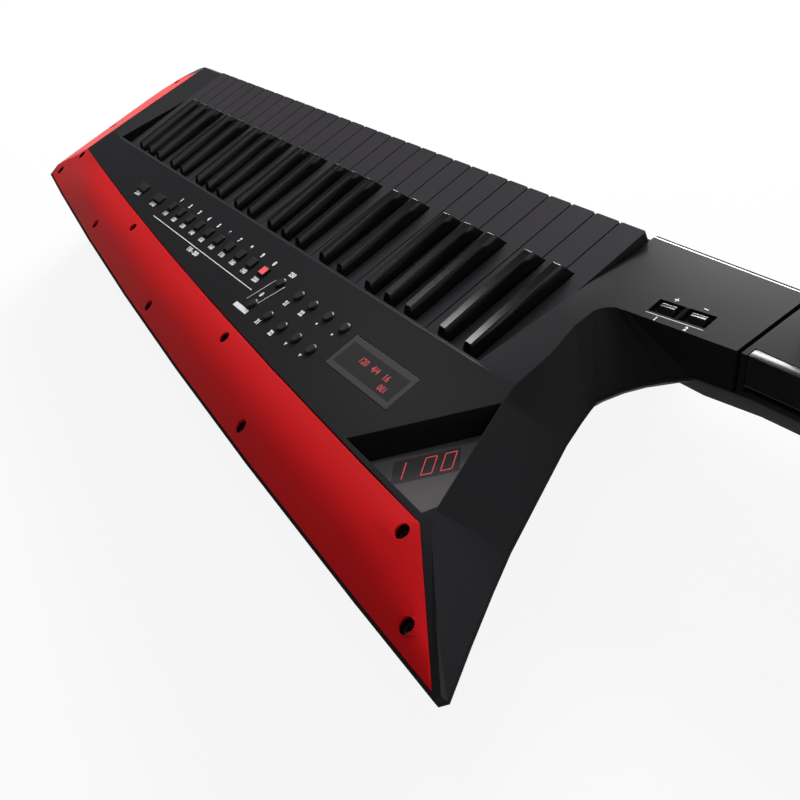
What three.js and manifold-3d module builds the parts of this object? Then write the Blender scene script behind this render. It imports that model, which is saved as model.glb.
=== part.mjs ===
// A keytar: a shoulder keyboard of 49 full-size keys, with a neck for the left hand and a horn above it.
// Millimetres, +Z up. It lies on its back: +X runs from the neck to the treble end, +Y from the key
// fronts to the red blade. The pieces are drawn in the keyboard's own frame, with x = 0 at the bass end
// of the keys, y = 0 at the fronts of the white keys and z = 0 at their tops, and the last group moves
// them so that the origin is the centre of the base of the whole instrument.
import * as THREE from "three";
import { mergeVertices } from "three/addons/utils/BufferGeometryUtils.js";
import Module from "manifold-3d";

const wasm = await Module();
wasm.setup();

// Clearances and walls
const fitGap = 0.3; // between pieces that rest on each other
const capGap = 0.4; // round a button or knob in its hole
const cutOver = 1; // how far a cutting solid runs past the face that it opens
const weld = 1e-3; // vertices closer than this are one
const wall = 2.5; // case mouldings
const rib = 2; // inner ribs and pocket floors

// Keyboard
const octaves = 4;
const pitch = 23.5; // one white key and its gap
const keyGap = 1;
const whiteCount = 7 * octaves + 1;
const octaveWidth = 7 * pitch;
const keyboardWidth = whiteCount * pitch;
const pastKeys = ([x, y]) => [keyboardWidth + x, y]; // a place given from the treble end of the keys
const headLength = 48; // front part of a white key, ahead of the black keys
const blackClearance = 1; // between a black key and the cutout of the white ones
const key = {
  top: 0,
  plate: 2.2,
  side: 1.8,
  skirtBottom: -18,
  sideBottom: -10,
  corner: 1.2,
  bodyEnd: 134,
  tailWidth: 9,
  tailEnd: 172,
};
const blackShares = [0.1295, 0.3015, 0.552, 0.7131, 0.8742]; // centres, in shares of an octave
const tailShares = [0.045, 0.2152, 0.3842, 0.4711, 0.6328, 0.7933, 0.9568]; // tails of the white keys
const black = {
  centres: blackShares.map((share) => share * octaveWidth),
  width: 11.7,
  topFront: 6.7,
  topRear: 5.8,
  frontY: 49,
  rake: 3.6,
  rearY: 130,
  rearRake: 3,
  shoulder: 2,
  frontTop: 10,
  rearTop: 8,
  bottom: -8,
  hollow: 1.7,
};
const rod = { radius: 1.5, y: 168, z: -6, sides: 12, clearance: 0.3 };
const keySlot = { left: -fitGap, right: keyboardWidth + fitGap, rear: 135, frontTop: -16.5 };
const individualOctaves = 2; // these keys swing one by one, the others as two combs

// Top surface: a level panel, cheeks that slope to the front, and the blade's three planes.
// A plane is z = level + slopeX * (x - x0) + slopeY * (y - y0).
const panelTop = 11;
const cheekSlope = 0.13;
const panelPlane = { level: panelTop, x0: 0, y0: 0, slopeX: 0, slopeY: 0 };
const cheekPlane = { level: panelTop, x0: 0, y0: keySlot.rear, slopeX: 0, slopeY: cheekSlope };
const bladeNear = [-68, 227]; // inner corner at the horn
const trebleSide = {
  bladeInner: [34.5, 168.2], // places past the treble end of the keys
  bladeBend: [37.5, 118],
  bladeFront: [69.5, 9],
  bladeCorner: [75.5, 213.4],
  bladeOuter: [
    [90.5, 138],
    [100.5, 75],
    [105, 20],
  ],
  rim: [
    [70.5, -11],
    [93.5, -4],
    [107, 18],
    [102.5, 75],
    [92.5, 138],
  ],
  crest: [
    [68.5, -6],
    [89.5, 0],
    [104.5, 20],
    [102.5, 75],
    [92.5, 138],
  ],
  screws: [
    [34.5, 177.5],
    [58.5, 204.5],
    [80.5, 124],
    [94.5, 30],
  ],
};
const bladeFar = pastKeys(trebleSide.bladeInner);
const bladeBow = 7.2; // how far the blade's inner edge bulges from the line between those corners
const bladeSlope = 0.234;
const bladeSteps = 6; // flat strips that make the bowed blade
const bladePlanes = Array.from({ length: bladeSteps + 1 }, (_, i) => {
  const [x, y] = bowPoint(bladeNear, bladeFar, bladeBow, i / bladeSteps);
  const [outX, outY] = bowOut(bladeNear, bladeFar, bladeBow, i / bladeSteps);
  return { level: panelTop, x0: x, y0: y, slopeX: -bladeSlope * outX, slopeY: -bladeSlope * outY };
});
const treblePlane = { level: panelTop, x0: bladeFar[0], y0: bladeFar[1], slopeX: -0.221, slopeY: 0.031 };
const trebleBend = pastKeys(trebleSide.bladeBend); // where the treble band turns a second time
const trebleFrontPlane = {
  level: 8.8,
  x0: trebleBend[0],
  y0: trebleBend[1],
  slopeX: -0.171,
  slopeY: 0.08,
};
const surfacePlanes = [panelPlane, cheekPlane, ...bladePlanes, treblePlane, trebleFrontPlane];

// Blade
const blade = {
  thickness: 2.5,
  lip: 2, // black rim outside the blade
  bow: 9.6, // bulge of its outer edge
  hornCorner: [-142, 278.2],
  farCorner: pastKeys(trebleSide.bladeCorner),
  trebleOuter: trebleSide.bladeOuter.map(pastKeys),
  frontInner: pastKeys(trebleSide.bladeFront),
};
const bladeScrew = { hole: 4.7, boss: 7, depth: 4.5, sides: 16 };
const bladeScrews = [
  [-63, 236],
  [204, 223],
  [464, 204],
  [-106, 266.5],
  [114, 257.5],
  [334, 244],
  [542, 223.5],
  ...trebleSide.screws.map(pastKeys),
];

// Outline in plan. The rim is the widest line of the case, and the crest is where the top surface ends.
const front = { rimY: -11, crestY: -6, chamfer: 2 };
const neckEnd = { x: -462, crestX: -459.5, frontY: -9, frontCrestY: -4.5, rearY: 50, rearCrestY: 42 };
const neckRoot = { rim: [-91.5, 63.9], crest: [-39.5, 56.9] };
const neckBend = { rim: [-128, 59.6], crest: [-116.2, 50] };
const hornTip = { outer: [-146, 280.5], inner: [-148.8, 275.7], crest: [-147.6, 276.4] };
const hornRidge = { middle: [-115.5, 252.9], top: [-83, 229.5] };
const hornCurve = [-75.5, 167]; // control point of the horn's inner edge
const hornEdgeShares = {
  middle: 0.12,
  top: 0.25,
  recessNear: 0.36,
  recessFar: 0.76,
  archStart: 0.88,
  archSide: 0.95,
};
const archEdgeShares = { rear: 0.25, middle: 0.5, front: 0.75 };
const archCorner = { rim: [-59, 105.1], crest: [-24.2, 67.1] };
const archCurve = [-66.3, 81.2]; // control point from the arch's corner to the neck
const recessCrest = { near: [-69.3, 216.3], far: [-40.9, 146.3] };
const archCrest = {
  start: [-33.3, 106.3],
  side: [-25.4, 82],
  rear: [-25.5, 64],
  middle: [-28.5, 60.3],
  front: [-32.8, 57.9],
};

// Heights of the case
const seam = { level: -4.5, y0: 277, slopeY: 0.075, band: 2.5 };
const crownZ = 20; // above every surface plane
const ridgeRise = 0.5; // from the crest to the ring of points that keeps it true
const base = { z: -70, left: -5, pastKeys: 60.5, frontY: 14, rearInset: 45, spreadShare: 0.04 };
const neckBase = { z: -48, inset: 12, bellyZ: -38, bellyInset: 3, into: 0 };
const foot = { z: -74.4, width: 12, seat: 1, left: 150, beforeEnd: 121.5, ys: [34, 150] };

// Neck joint, modulation bar and controls on the neck
const neckJoint = { x: -116, groove: 3 };
const modulation = {
  left: -300,
  right: -123,
  innerY: 44,
  bottom: -15.5,
  drop: 2.5,
  gap: 0.5,
  pivot: [46, -13],
  pin: 1.2,
  pinReach: 1.6,
};
const touchStrip = { left: -425, right: -215, frontV: 12, width: 22, depth: 1.6, plate: 1.3 };
const knob = {
  radius: 7.5,
  brow: 6.8,
  top: 6,
  height: 11,
  edge: 0.8,
  skirt: 0.5,
  sides: 24,
  xs: [-140, -163, -186],
  v: 20,
  shaft: 3,
  stem: 6,
};
const hold = { x: -442, v: 23, width: 14, depth: 9, rise: 1.6, stem: 6, flange: 1.5 };
const octaveKey = {
  centre: [-69.6, 42.6],
  turn: 6.5,
  recess: [39, 11],
  depth: 3,
  spread: 10.4,
  cap: [10.6, 6.2],
  rise: 0.4,
  shoulder: -2.2,
  stem: 7,
  flange: [1.5, 1],
  divider: 2.6,
};

// Panel controls
const tone = { count: 10, first: 240.3, step: 22.4, y: 165.7, size: [9.6, 8.4] };
const mode = { xs: [476.5, 520.5], y: 167, size: [20, 8] };
const round = {
  radius: 4.6,
  sides: 16,
  upper: [112.4, 135.3, 158.9, 180.6, 211.1],
  upperY: 165.4,
  lower: [118.4, 140.3, 162.8, 186.3, 214],
  lowerY: 190.8,
};
const cap = { rise: 1.6, railTop: 7.6, railBottom: 5.4, railWidth: 6, flange: 1 };
const panelBoard = { left: 104, right: 560, frontY: 158, margin: 8, thickness: 1.6, z: 2.6 };
const display = { left: 20, right: 98, frontY: 164, rearY: 191.5, window: 1.5, frame: 4, module: 5 };
const readout = {
  depth: 12,
  outline: [
    [23.6, 219.4],
    [-41.2, 147.8],
    [-67.8, 214.5],
    [-63.4, 222.4],
  ],
  wallShares: [0.156, 0.13], // how far the sloped wall runs along the two sides
  window: 1.5,
  digits: [41, 17, 8],
  digitsAt: [-26, 199.4],
  turn: 48.7,
};

// Inside
const frameDeck = { left: -3, pastKeys: 3.5, frontY: 6, rearY: 176, z: -34, thickness: 3 };
const frameRail = { left: 1, beforeEnd: 1.5, frontY: 8, rearY: 16, top: -20.4 };
const ear = { thickness: 3, frontY: 162, rearY: 173, top: -2 };
const combRail = { frontY: 174, rearY: 177, thickness: 2 };
const contact = { frontY: 70, rearY: 110, thickness: 1.6, dome: [7, 6, 3], margin: 4 };
const spring = { baseFront: 138, baseRear: 146, thickness: 0.5, tipY: 152, clearance: 1.4, width: 5 };
const caseRib = { ys: [20, 156], left: 40, beforeEnd: 41.5 };
const mainBoard = { left: 300, right: 540, frontY: 62, rearY: 142, z: -60, thickness: 1.6, post: 4, inset: 6 };
const cell = {
  length: 50.5,
  diameter: 14.5,
  fuse: 0.1,
  sides: 12,
  rows: 4,
  spine: 2,
  endRoom: 5.5,
  sideRoom: 5.2,
  headRoom: 1.7,
};
const cellStep = cell.diameter - cell.fuse;
const cover = { thickness: 2, gap: 0.5 };
const bayCorner = [86, 66];
const bay = {
  left: bayCorner[0],
  right: bayCorner[0] + 2 * (cell.length + cell.endRoom) + cell.spine,
  frontY: bayCorner[1],
  rearY: bayCorner[1] + cellStep * (cell.rows - 1) + cell.diameter + 2 * cell.sideRoom,
  roof: base.z + cover.thickness + fitGap + cell.diameter + cell.headRoom,
};
const jackPocket = { left: -121.5, right: 42.5, y: 180, roof: -20 }; // x from the treble end of the keys
const jack = {
  left: -101.5, // from the treble end of the keys too
  right: 18.5,
  innerY: 152,
  bottom: -50,
  top: -36,
  bores: [-87.5, -64.5, -41.5, -18.5],
  bore: 3.3,
  boreDepth: 22,
  boreSides: 12,
  port: [12.4, 8],
  portX: 3.5,
};
const power = { x: 30.5, width: 8, height: 6, length: 14, proud: 2, flange: 1.5 };
const strap = { flange: 8, neck: 4, head: 8.5, length: 10, foot: 1.2, base: 2, cap: 3, brow: 0.9, sides: 20 };
const hornStrap = { x: -45, y: 222, boss: 10, dropShare: 0.8 };
const tailStrap = { y: 100, z: -34, boss: 9.5, standoff: 4 };

// Solids

// Turns a closed geometry into a solid that can be joined and cut.
function solid(geometry) {
  const bare = geometry.index ? geometry.toNonIndexed() : geometry.clone();
  bare.deleteAttribute("normal");
  bare.deleteAttribute("uv");
  const merged = mergeVertices(bare, weld);
  const index = Array.from(merged.index.array);
  const kept = [];
  for (let i = 0; i < index.length; i += 3) {
    const [a, b, c] = index.slice(i, i + 3);
    if (a !== b && b !== c && a !== c) kept.push(a, b, c);
  }
  return new wasm.Manifold(
    new wasm.Mesh({
      numProp: 3,
      vertProperties: merged.attributes.position.array,
      triVerts: new Uint32Array(kept),
    }),
  );
}

function box(x0, x1, y0, y1, z0, z1) {
  const geometry = new THREE.BoxGeometry(x1 - x0, y1 - y0, z1 - z0);
  return solid(geometry.translate((x0 + x1) / 2, (y0 + y1) / 2, (z0 + z1) / 2));
}

// A plan outline pulled up from z0 to z1.
function prism(points, z0, z1) {
  const shape = new THREE.Shape(points.map(([x, y]) => new THREE.Vector2(x, y)));
  const geometry = new THREE.ExtrudeGeometry(shape, { depth: z1 - z0, bevelEnabled: false });
  return solid(geometry.translate(0, 0, z0));
}

// A profile in the y-z plane, pulled along x from x0 to x1.
function bar(profile, x0, x1) {
  const shape = new THREE.Shape(profile.map(([y, z]) => new THREE.Vector2(y, z)));
  const geometry = new THREE.ExtrudeGeometry(shape, { depth: x1 - x0, bevelEnabled: false });
  const toBar = new THREE.Matrix4().makeBasis(
    new THREE.Vector3(0, 1, 0),
    new THREE.Vector3(0, 0, 1),
    new THREE.Vector3(1, 0, 0),
  );
  return solid(geometry.applyMatrix4(toBar).translate(x0, 0, 0));
}

function cylinder(radius, from, to, axis, at, sides) {
  const geometry = new THREE.CylinderGeometry(radius, radius, to - from, sides);
  if (axis === "x") geometry.rotateZ(-Math.PI / 2).translate((from + to) / 2, at[0], at[1]);
  if (axis === "y") geometry.translate(at[0], (from + to) / 2, at[1]);
  if (axis === "z") geometry.rotateX(Math.PI / 2).translate(at[0], at[1], (from + to) / 2);
  return solid(geometry);
}

// A closed skin through rings of points that all have the same count, from the lowest ring up.
function loft(rings) {
  const corners = [];
  const count = rings[0].length;
  const flat = (ring) => ring.map(([x, y]) => new THREE.Vector2(x, y));
  const put = (...points) => points.forEach((p) => corners.push(...p));
  rings.slice(1).forEach((upper, k) => {
    const lower = rings[k];
    for (let i = 0; i < count; i += 1) {
      const j = (i + 1) % count;
      put(lower[i], lower[j], upper[j], lower[i], upper[j], upper[i]);
    }
  });
  const lowest = rings[0];
  const highest = rings[rings.length - 1];
  THREE.ShapeUtils.triangulateShape(flat(lowest), []).forEach(([a, b, c]) =>
    put(lowest[a], lowest[c], lowest[b]),
  );
  THREE.ShapeUtils.triangulateShape(flat(highest), []).forEach(([a, b, c]) =>
    put(highest[a], highest[b], highest[c]),
  );
  const geometry = new THREE.BufferGeometry();
  return solid(geometry.setAttribute("position", new THREE.Float32BufferAttribute(corners, 3)));
}

const join = (parts) => parts.reduce((all, one) => all.add(one));
const cut = (body, parts) => parts.reduce((left, one) => left.subtract(one), body);

// Moves the edges of a counterclockwise outline inward by one distance.
function inset(points, distance) {
  const unit = (a, b) => {
    const length = Math.hypot(b[0] - a[0], b[1] - a[1]);
    return [(b[0] - a[0]) / length, (b[1] - a[1]) / length];
  };
  return points.map((p, i) => {
    const before = unit(points[(i + points.length - 1) % points.length], p);
    const after = unit(p, points[(i + 1) % points.length]);
    const facing = before[0] * after[0] + before[1] * after[1];
    const k = distance / (1 + facing);
    return [p[0] - (before[1] + after[1]) * k, p[1] + (before[0] + after[0]) * k];
  });
}

const heightOn = (plane, x, y) => plane.level + plane.slopeX * (x - plane.x0) + plane.slopeY * (y - plane.y0);
const surfaceAt = (x, y) => Math.min(...surfacePlanes.map((plane) => heightOn(plane, x, y)));

// Keeps what lies below a plane that has been lowered by a thickness.
function keepBelow(body, plane, lowered) {
  const slant = Math.hypot(plane.slopeX, plane.slopeY, 1);
  const level = heightOn(plane, 0, 0) - lowered * slant;
  return body.trimByPlane([plane.slopeX, plane.slopeY, -1], -level / slant);
}

const underSurface = (body, lowered) =>
  surfacePlanes.reduce((left, plane) => keepBelow(left, plane, lowered), body);

// Outline points

// A point of an edge that bulges evenly from the straight line between its ends. With a lift of half
// the step, it is the corner where the flat strips on both sides of it meet.
function bowPoint(from, to, bow, t, lift = 0) {
  const run = [to[0] - from[0], to[1] - from[1]];
  const out = (4 * bow * (t * (1 - t) + lift * lift)) / Math.hypot(...run);
  return [from[0] + run[0] * t - run[1] * out, from[1] + run[1] * t + run[0] * out];
}

// The outward direction of such an edge.
function bowOut(from, to, bow, t) {
  const run = [to[0] - from[0], to[1] - from[1]];
  const turn = (4 * bow * (1 - 2 * t)) / Math.hypot(...run);
  const along = [run[0] - run[1] * turn, run[1] + run[0] * turn];
  const length = Math.hypot(...along);
  return [-along[1] / length, along[0] / length];
}

function bowCorners(from, to, bow) {
  const half = 1 / (2 * bladeSteps);
  return Array.from({ length: bladeSteps }, (_, i) => bowPoint(from, to, bow, (2 * i + 1) * half, half));
}

function curvePoint(from, control, to, t) {
  const curve = new THREE.QuadraticBezierCurve(
    new THREE.Vector2(...from),
    new THREE.Vector2(...control),
    new THREE.Vector2(...to),
  );
  return curve.getPoint(t).toArray();
}

const hornEdge = (t) => curvePoint(hornTip.inner, hornCurve, archCorner.rim, t);
const archEdge = (t) => curvePoint(archCorner.rim, archCurve, neckRoot.rim, t);
const lipHorn = [blade.hornCorner[0], blade.hornCorner[1] + blade.lip];
const lipFar = [blade.farCorner[0] + blade.lip, blade.farCorner[1] + blade.lip];
const lipY = (x) => bowPoint(lipHorn, lipFar, blade.bow, (x - lipHorn[0]) / (lipFar[0] - lipHorn[0]))[1];
const seamZ = (y) => seam.level + seam.slopeY * (y - seam.y0);
const rimZ = (y) => seamZ(y) - seam.band;

// Each pair is a rim point and the crest point above it.
const neckEndFront = [
  [neckEnd.x, neckEnd.frontY],
  [neckEnd.crestX, neckEnd.frontCrestY],
];
const frontToHorn = [
  ...trebleSide.rim.map((rim, i) => [pastKeys(rim), pastKeys(trebleSide.crest[i])]),
  [lipFar, lipFar],
  ...bowCorners(lipHorn, lipFar, blade.bow)
    .reverse()
    .map((point) => [point, point]),
];
const hornEnd = [
  [hornTip.outer, hornTip.outer],
  [hornTip.inner, hornTip.crest],
  [hornEdge(hornEdgeShares.middle), hornRidge.middle],
];
const hornToNeck = [
  [hornEdge(hornEdgeShares.top), hornRidge.top],
  [hornEdge(hornEdgeShares.recessNear), recessCrest.near],
  [hornEdge(hornEdgeShares.recessFar), recessCrest.far],
  [hornEdge(hornEdgeShares.archStart), archCrest.start],
  [hornEdge(hornEdgeShares.archSide), archCrest.side],
  [archCorner.rim, archCorner.crest],
  [archEdge(archEdgeShares.rear), archCrest.rear],
  [archEdge(archEdgeShares.middle), archCrest.middle],
  [archEdge(archEdgeShares.front), archCrest.front],
  [neckRoot.rim, neckRoot.crest],
];
const neckBack = [
  [neckBend.rim, neckBend.crest],
  [
    [neckEnd.x, neckEnd.rearY],
    [neckEnd.crestX, neckEnd.rearCrestY],
  ],
];
const wholeOutline = [neckEndFront, ...frontToHorn, ...hornEnd, ...hornToNeck, ...neckBack];
const coreOutline = [neckEndFront, ...frontToHorn, ...hornToNeck, ...neckBack];

// Where the line from rim to crest passes a height.
function flankPoint([rim, crest], z) {
  const low = seamZ(rim[1]);
  const share = (z - low) / (surfaceAt(crest[0], crest[1]) - low);
  return [rim[0] + (crest[0] - rim[0]) * share, rim[1] + (crest[1] - rim[1]) * share];
}

const atZ = (points, z) => points.map(([x, y]) => [x, y, z]);
const onSeam = (points, raised) => points.map(([x, y]) => [x, y, seamZ(y) + raised]);
const rimOf = (outline) => outline.map(([rim]) => rim);

// The flanks above the seam: one ring of points just above the crest and one at the crown height.
function flankRings(outline, inward) {
  const ridgeZ = outline.map(([, crest]) => surfaceAt(crest[0], crest[1]) + ridgeRise);
  const ridge = outline.map((pair, i) => flankPoint(pair, ridgeZ[i]));
  const crown = outline.map((pair) => flankPoint(pair, crownZ));
  return [inset(ridge, inward).map(([x, y], i) => [x, y, ridgeZ[i]]), atZ(inset(crown, inward), crownZ)];
}

// Case mouldings

// The whole upper body as a solid, up to the surface planes lowered by a thickness.
function upperBody(lowered) {
  const flanks = loft([onSeam(rimOf(wholeOutline), fitGap), ...flankRings(wholeOutline, 0)]);
  return underSurface(flanks, lowered);
}

function upperCavity() {
  const rim = inset(rimOf(coreOutline), wall);
  const hollow = loft([onSeam(rim, -cutOver), ...flankRings(coreOutline, wall)]);
  return underSurface(hollow, blade.thickness + fitGap + wall);
}

// The panel and cheeks are one wall thick, so the hollow reaches higher there than under the blade.
function panelCavity() {
  const room = inset(
    [
      [neckJoint.x, front.crestY],
      [blade.frontInner[0] - wall, front.crestY],
      [trebleBend[0] - wall, trebleBend[1]],
      [bladeFar[0] - wall, bladeFar[1] - wall],
      [recessCrest.near[0] + wall, bladeNear[1] - wall],
      recessCrest.far,
      archCorner.crest,
      neckRoot.crest,
      [neckJoint.x, neckBend.crest[1]],
    ],
    wall,
  );
  return underSurface(prism(room, seamZ(front.rimY), crownZ), wall);
}

const bladePlan = [
  bladeNear,
  ...bowCorners(bladeNear, bladeFar, bladeBow),
  bladeFar,
  trebleBend,
  blade.frontInner,
  ...[...blade.trebleOuter].reverse(),
  blade.farCorner,
  ...bowCorners(blade.hornCorner, blade.farCorner, blade.bow).reverse(),
  blade.hornCorner,
];

const frontChamfer = (body) => {
  const edge = heightOn(cheekPlane, 0, front.crestY);
  const across = -front.crestY + edge - front.chamfer;
  return body.trimByPlane([0, 1, -1], -across / Math.SQRT2);
};

// What lies over the blade's planes, once they are lowered by a thickness.
function aboveBlade(grow, lowered) {
  const low = seamZ(front.rimY);
  const below = underSurface(prism(inset(bladePlan, -grow - cutOver), low - cutOver, crownZ), lowered);
  return prism(inset(bladePlan, -grow), low, crownZ).subtract(below);
}

function bladeHoles(radius, from, to) {
  return bladeScrews.map(([x, y]) => {
    const z = surfaceAt(x, y);
    return cylinder(radius, z + from, z + to, "z", [x, y], bladeScrew.sides);
  });
}

// Places a solid drawn on a level sheet onto the sloping cheek, with its z = 0 on the surface.
const cheekAngle = Math.atan(cheekSlope);
const cheekFoot = heightOn(cheekPlane, 0, 0);
const onCheek = (body) =>
  body.rotate([THREE.MathUtils.radToDeg(cheekAngle), 0, 0]).translate([0, 0, cheekFoot]);

// Drawn round its own centre, turned with the neck and set into the cheek.
const onOctaveSeat = (body) =>
  onCheek(body.rotate([0, 0, octaveKey.turn]).translate([octaveKey.centre[0], octaveKey.centre[1], 0]));

function plateBox([width, depth], grow, z0, z1) {
  return box(-width / 2 - grow, width / 2 + grow, -depth / 2 - grow, depth / 2 + grow, z0, z1);
}

const octaveXs = [-octaveKey.spread, octaveKey.spread];

function octaveRecess() {
  const half = octaveKey.divider / 2;
  const [width, depth] = octaveKey.recess;
  const wells = [
    box(-width / 2, -half, -depth / 2, depth / 2, -octaveKey.depth, cutOver),
    box(half, width / 2, -depth / 2, depth / 2, -octaveKey.depth, cutOver),
  ];
  const holes = octaveXs.map((x) =>
    plateBox(octaveKey.cap, capGap, -octaveKey.stem, cutOver).translate([x, 0, 0]),
  );
  return onOctaveSeat(join([...wells, ...holes]));
}

function octaveFloor() {
  const [width, depth] = octaveKey.recess;
  const floor = octaveKey.depth + rib;
  const block = box(-width / 2 - rib, width / 2 + rib, -depth / 2 - rib, depth / 2 + rib, -floor, 0);
  return onOctaveSeat(block);
}

const recessFloor = panelTop - readout.depth;

function readoutPocket() {
  const [rearLeft, rearRight, crestSide, bladeSide] = readout.outline;
  const [bladeShare, crestShare] = readout.wallShares;
  const toward = (a, b, share) => [a[0] + (b[0] - a[0]) * share, a[1] + (b[1] - a[1]) * share];
  const top = [rearLeft, bladeSide, crestSide, rearRight];
  const bottom = [
    toward(rearLeft, bladeSide, bladeShare),
    bladeSide,
    crestSide,
    toward(rearRight, crestSide, crestShare),
  ];
  return { top, bottom };
}

function readoutCut() {
  const { top, bottom } = readoutPocket();
  const well = loft([atZ(bottom, recessFloor - readout.window - fitGap), atZ(top, panelTop)]);
  const mouth = prism(top, panelTop, crownZ);
  const digits = readoutBlock(capGap, recessFloor - readout.window - rib - cutOver, recessFloor);
  return join([well, mouth, digits]);
}

function readoutBlock(grow, z0, z1) {
  const [width, depth] = readout.digits;
  return plateBox([width, depth], grow, z0, z1)
    .rotate([0, 0, readout.turn])
    .translate([...readout.digitsAt, 0]);
}

function readoutWalls() {
  const { top } = readoutPocket();
  return prism(inset(top, -rib), recessFloor - readout.window - fitGap - rib, crownZ);
}

function displayCut() {
  const seat = box(
    display.left - fitGap,
    display.right + fitGap,
    display.frontY - fitGap,
    display.rearY + fitGap,
    panelTop - display.window - fitGap,
    panelTop + cutOver,
  );
  const light = box(
    display.left + display.frame,
    display.right - display.frame,
    display.frontY + display.frame,
    display.rearY - display.frame,
    0,
    panelTop,
  );
  return seat.add(light);
}

function capHoles() {
  const low = panelTop - wall - cutOver;
  const high = panelTop + cutOver;
  const [toneW, toneD] = tone.size;
  const [modeW, modeD] = mode.size;
  const square = (x, y, w, d) =>
    box(x - w / 2 - capGap, x + w / 2 + capGap, y - d / 2 - capGap, y + d / 2 + capGap, low, high);
  const hole = (x, y) => cylinder(round.radius + capGap, low, high, "z", [x, y], round.sides);
  return [
    ...toneXs().map((x) => square(x, tone.y, toneW, toneD)),
    ...mode.xs.map((x) => square(x, mode.y, modeW, modeD)),
    ...round.upper.map((x) => hole(x, round.upperY)),
    ...round.lower.map((x) => hole(x, round.lowerY)),
  ];
}

function toneXs() {
  return Array.from({ length: tone.count }, (_, i) => tone.first + i * tone.step);
}

function slotWalls() {
  const low = seamZ(front.rimY);
  const rear = keySlot.rear;
  return [
    box(keySlot.left - wall, keySlot.left, front.rimY, rear, low, crownZ),
    box(keySlot.right, keySlot.right + wall, front.rimY, rear, low, crownZ),
  ];
}

const keySlotCut = () =>
  box(keySlot.left, keySlot.right, front.rimY - cutOver, keySlot.rear, keySlot.frontTop, crownZ);

function topCase() {
  const jointX = neckJoint.x;
  const body = frontChamfer(upperBody(0)).subtract(neckZone(jointX));
  const kept = [
    ...slotWalls(),
    readoutWalls(),
    octaveFloor(),
    box(jointX, jointX + wall, front.rimY, neckRoot.rim[1], base.z, crownZ),
    ...bladeHoles(bladeScrew.boss, -bladeScrew.depth - blade.thickness - rib, 0),
  ];
  const hollow = cut(upperCavity().add(panelCavity()), kept);
  return cut(body, [
    hollow.subtract(neckZone(jointX)),
    aboveBlade(fitGap, blade.thickness + fitGap),
    keySlotCut(),
    readoutCut(),
    octaveRecess(),
    displayCut(),
    ...capHoles(),
    ...bladeHoles(bladeScrew.hole, -bladeScrew.depth - blade.thickness, cutOver),
  ]);
}

function edgeBlade() {
  const plate = underSurface(aboveBlade(0, blade.thickness), 0);
  return cut(plate, bladeHoles(bladeScrew.hole, -bladeScrew.depth - blade.thickness, cutOver));
}

// Neck cover with its seats

const stripBox = (grow, z0, z1) =>
  box(
    touchStrip.left - grow,
    touchStrip.right + grow,
    touchStrip.frontV - grow,
    touchStrip.frontV + touchStrip.width + grow,
    z0,
    z1,
  );

const knobHole = (x, radius, z0, z1) => cylinder(radius, z0, z1, "z", [x, knob.v], knob.sides);

const holdBox = (grow, z0, z1) =>
  plateBox([hold.width, hold.depth], grow, z0, z1).translate([hold.x, hold.v, 0]);

// All of the neck before a joint, with room round it.
const neckZone = (jointX) =>
  box(neckEnd.x - cutOver, jointX, front.rimY - cutOver, archCorner.rim[1], base.z, crownZ);

const modulationRoom = (grow, bottom) =>
  box(
    modulation.left - grow,
    modulation.right + grow,
    modulation.innerY - grow,
    neckRoot.rim[1] + cutOver,
    bottom - grow,
    crownZ,
  );

const modulationPin = (radius, reach) =>
  cylinder(
    radius,
    modulation.left - reach,
    modulation.right + reach,
    "x",
    modulation.pivot,
    rod.sides,
  );

function neckCover() {
  const outerX = neckJoint.x - neckJoint.groove;
  const low = seamZ(front.rimY);
  const roomFloor = modulation.bottom - modulation.drop;
  const body = frontChamfer(upperBody(0)).intersect(neckZone(outerX));
  const rim = inset(rimOf(coreOutline), wall);
  const hollow = underSurface(loft([onSeam(rim, -cutOver), ...flankRings(coreOutline, wall)]), wall);
  const kept = [
    modulationRoom(modulation.gap + rib, roomFloor),
    box(outerX - wall, outerX, front.rimY, neckRoot.rim[1], low, crownZ),
    onCheek(stripBox(rib, -touchStrip.depth - rib, 0)),
  ];
  return cut(body, [
    cut(hollow, kept).intersect(neckZone(outerX)),
    modulationRoom(modulation.gap, roomFloor),
    modulationPin(modulation.pin + fitGap, modulation.pinReach + fitGap),
    onCheek(stripBox(fitGap, -touchStrip.depth, cutOver)),
    onCheek(holdBox(capGap, -wall - cutOver, cutOver)),
    ...knob.xs.map((x) => onCheek(knobHole(x, knob.shaft + fitGap, -wall - cutOver, cutOver))),
  ]);
}

// A bar on the back edge of the neck. It swings outward about its pins, under the thumb.
function modulationBar() {
  const bar = upperBody(0).intersect(modulationRoom(0, modulation.bottom));
  return bar.add(modulationPin(modulation.pin, modulation.pinReach));
}

function touchPlate() {
  return onCheek(stripBox(0, -touchStrip.depth + fitGap, -touchStrip.depth + fitGap + touchStrip.plate));
}

// A knob with a pointer groove, on a shaft that goes through the cover to a flange below it.
function knobSolid(x) {
  const skirt = knob.skirt;
  const profile = [
    [0, -knob.stem],
    [knob.shaft, -knob.stem],
    [knob.shaft, skirt],
    [knob.radius, skirt],
    [knob.brow, knob.height - knob.edge],
    [knob.top, knob.height],
    [0, knob.height],
  ];
  const points = profile.map(([r, z]) => new THREE.Vector2(r, z));
  const turned = solid(new THREE.LatheGeometry(points, knob.sides).rotateX(Math.PI / 2));
  const flange = cylinder(knob.shaft + rib, -knob.stem, -wall - fitGap, "z", [0, 0], knob.sides);
  const groove = box(-skirt, skirt, 0, knob.radius, knob.height - skirt, knob.height + cutOver);
  return onCheek(turned.add(flange).subtract(groove).translate([x, knob.v, 0]));
}

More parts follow.
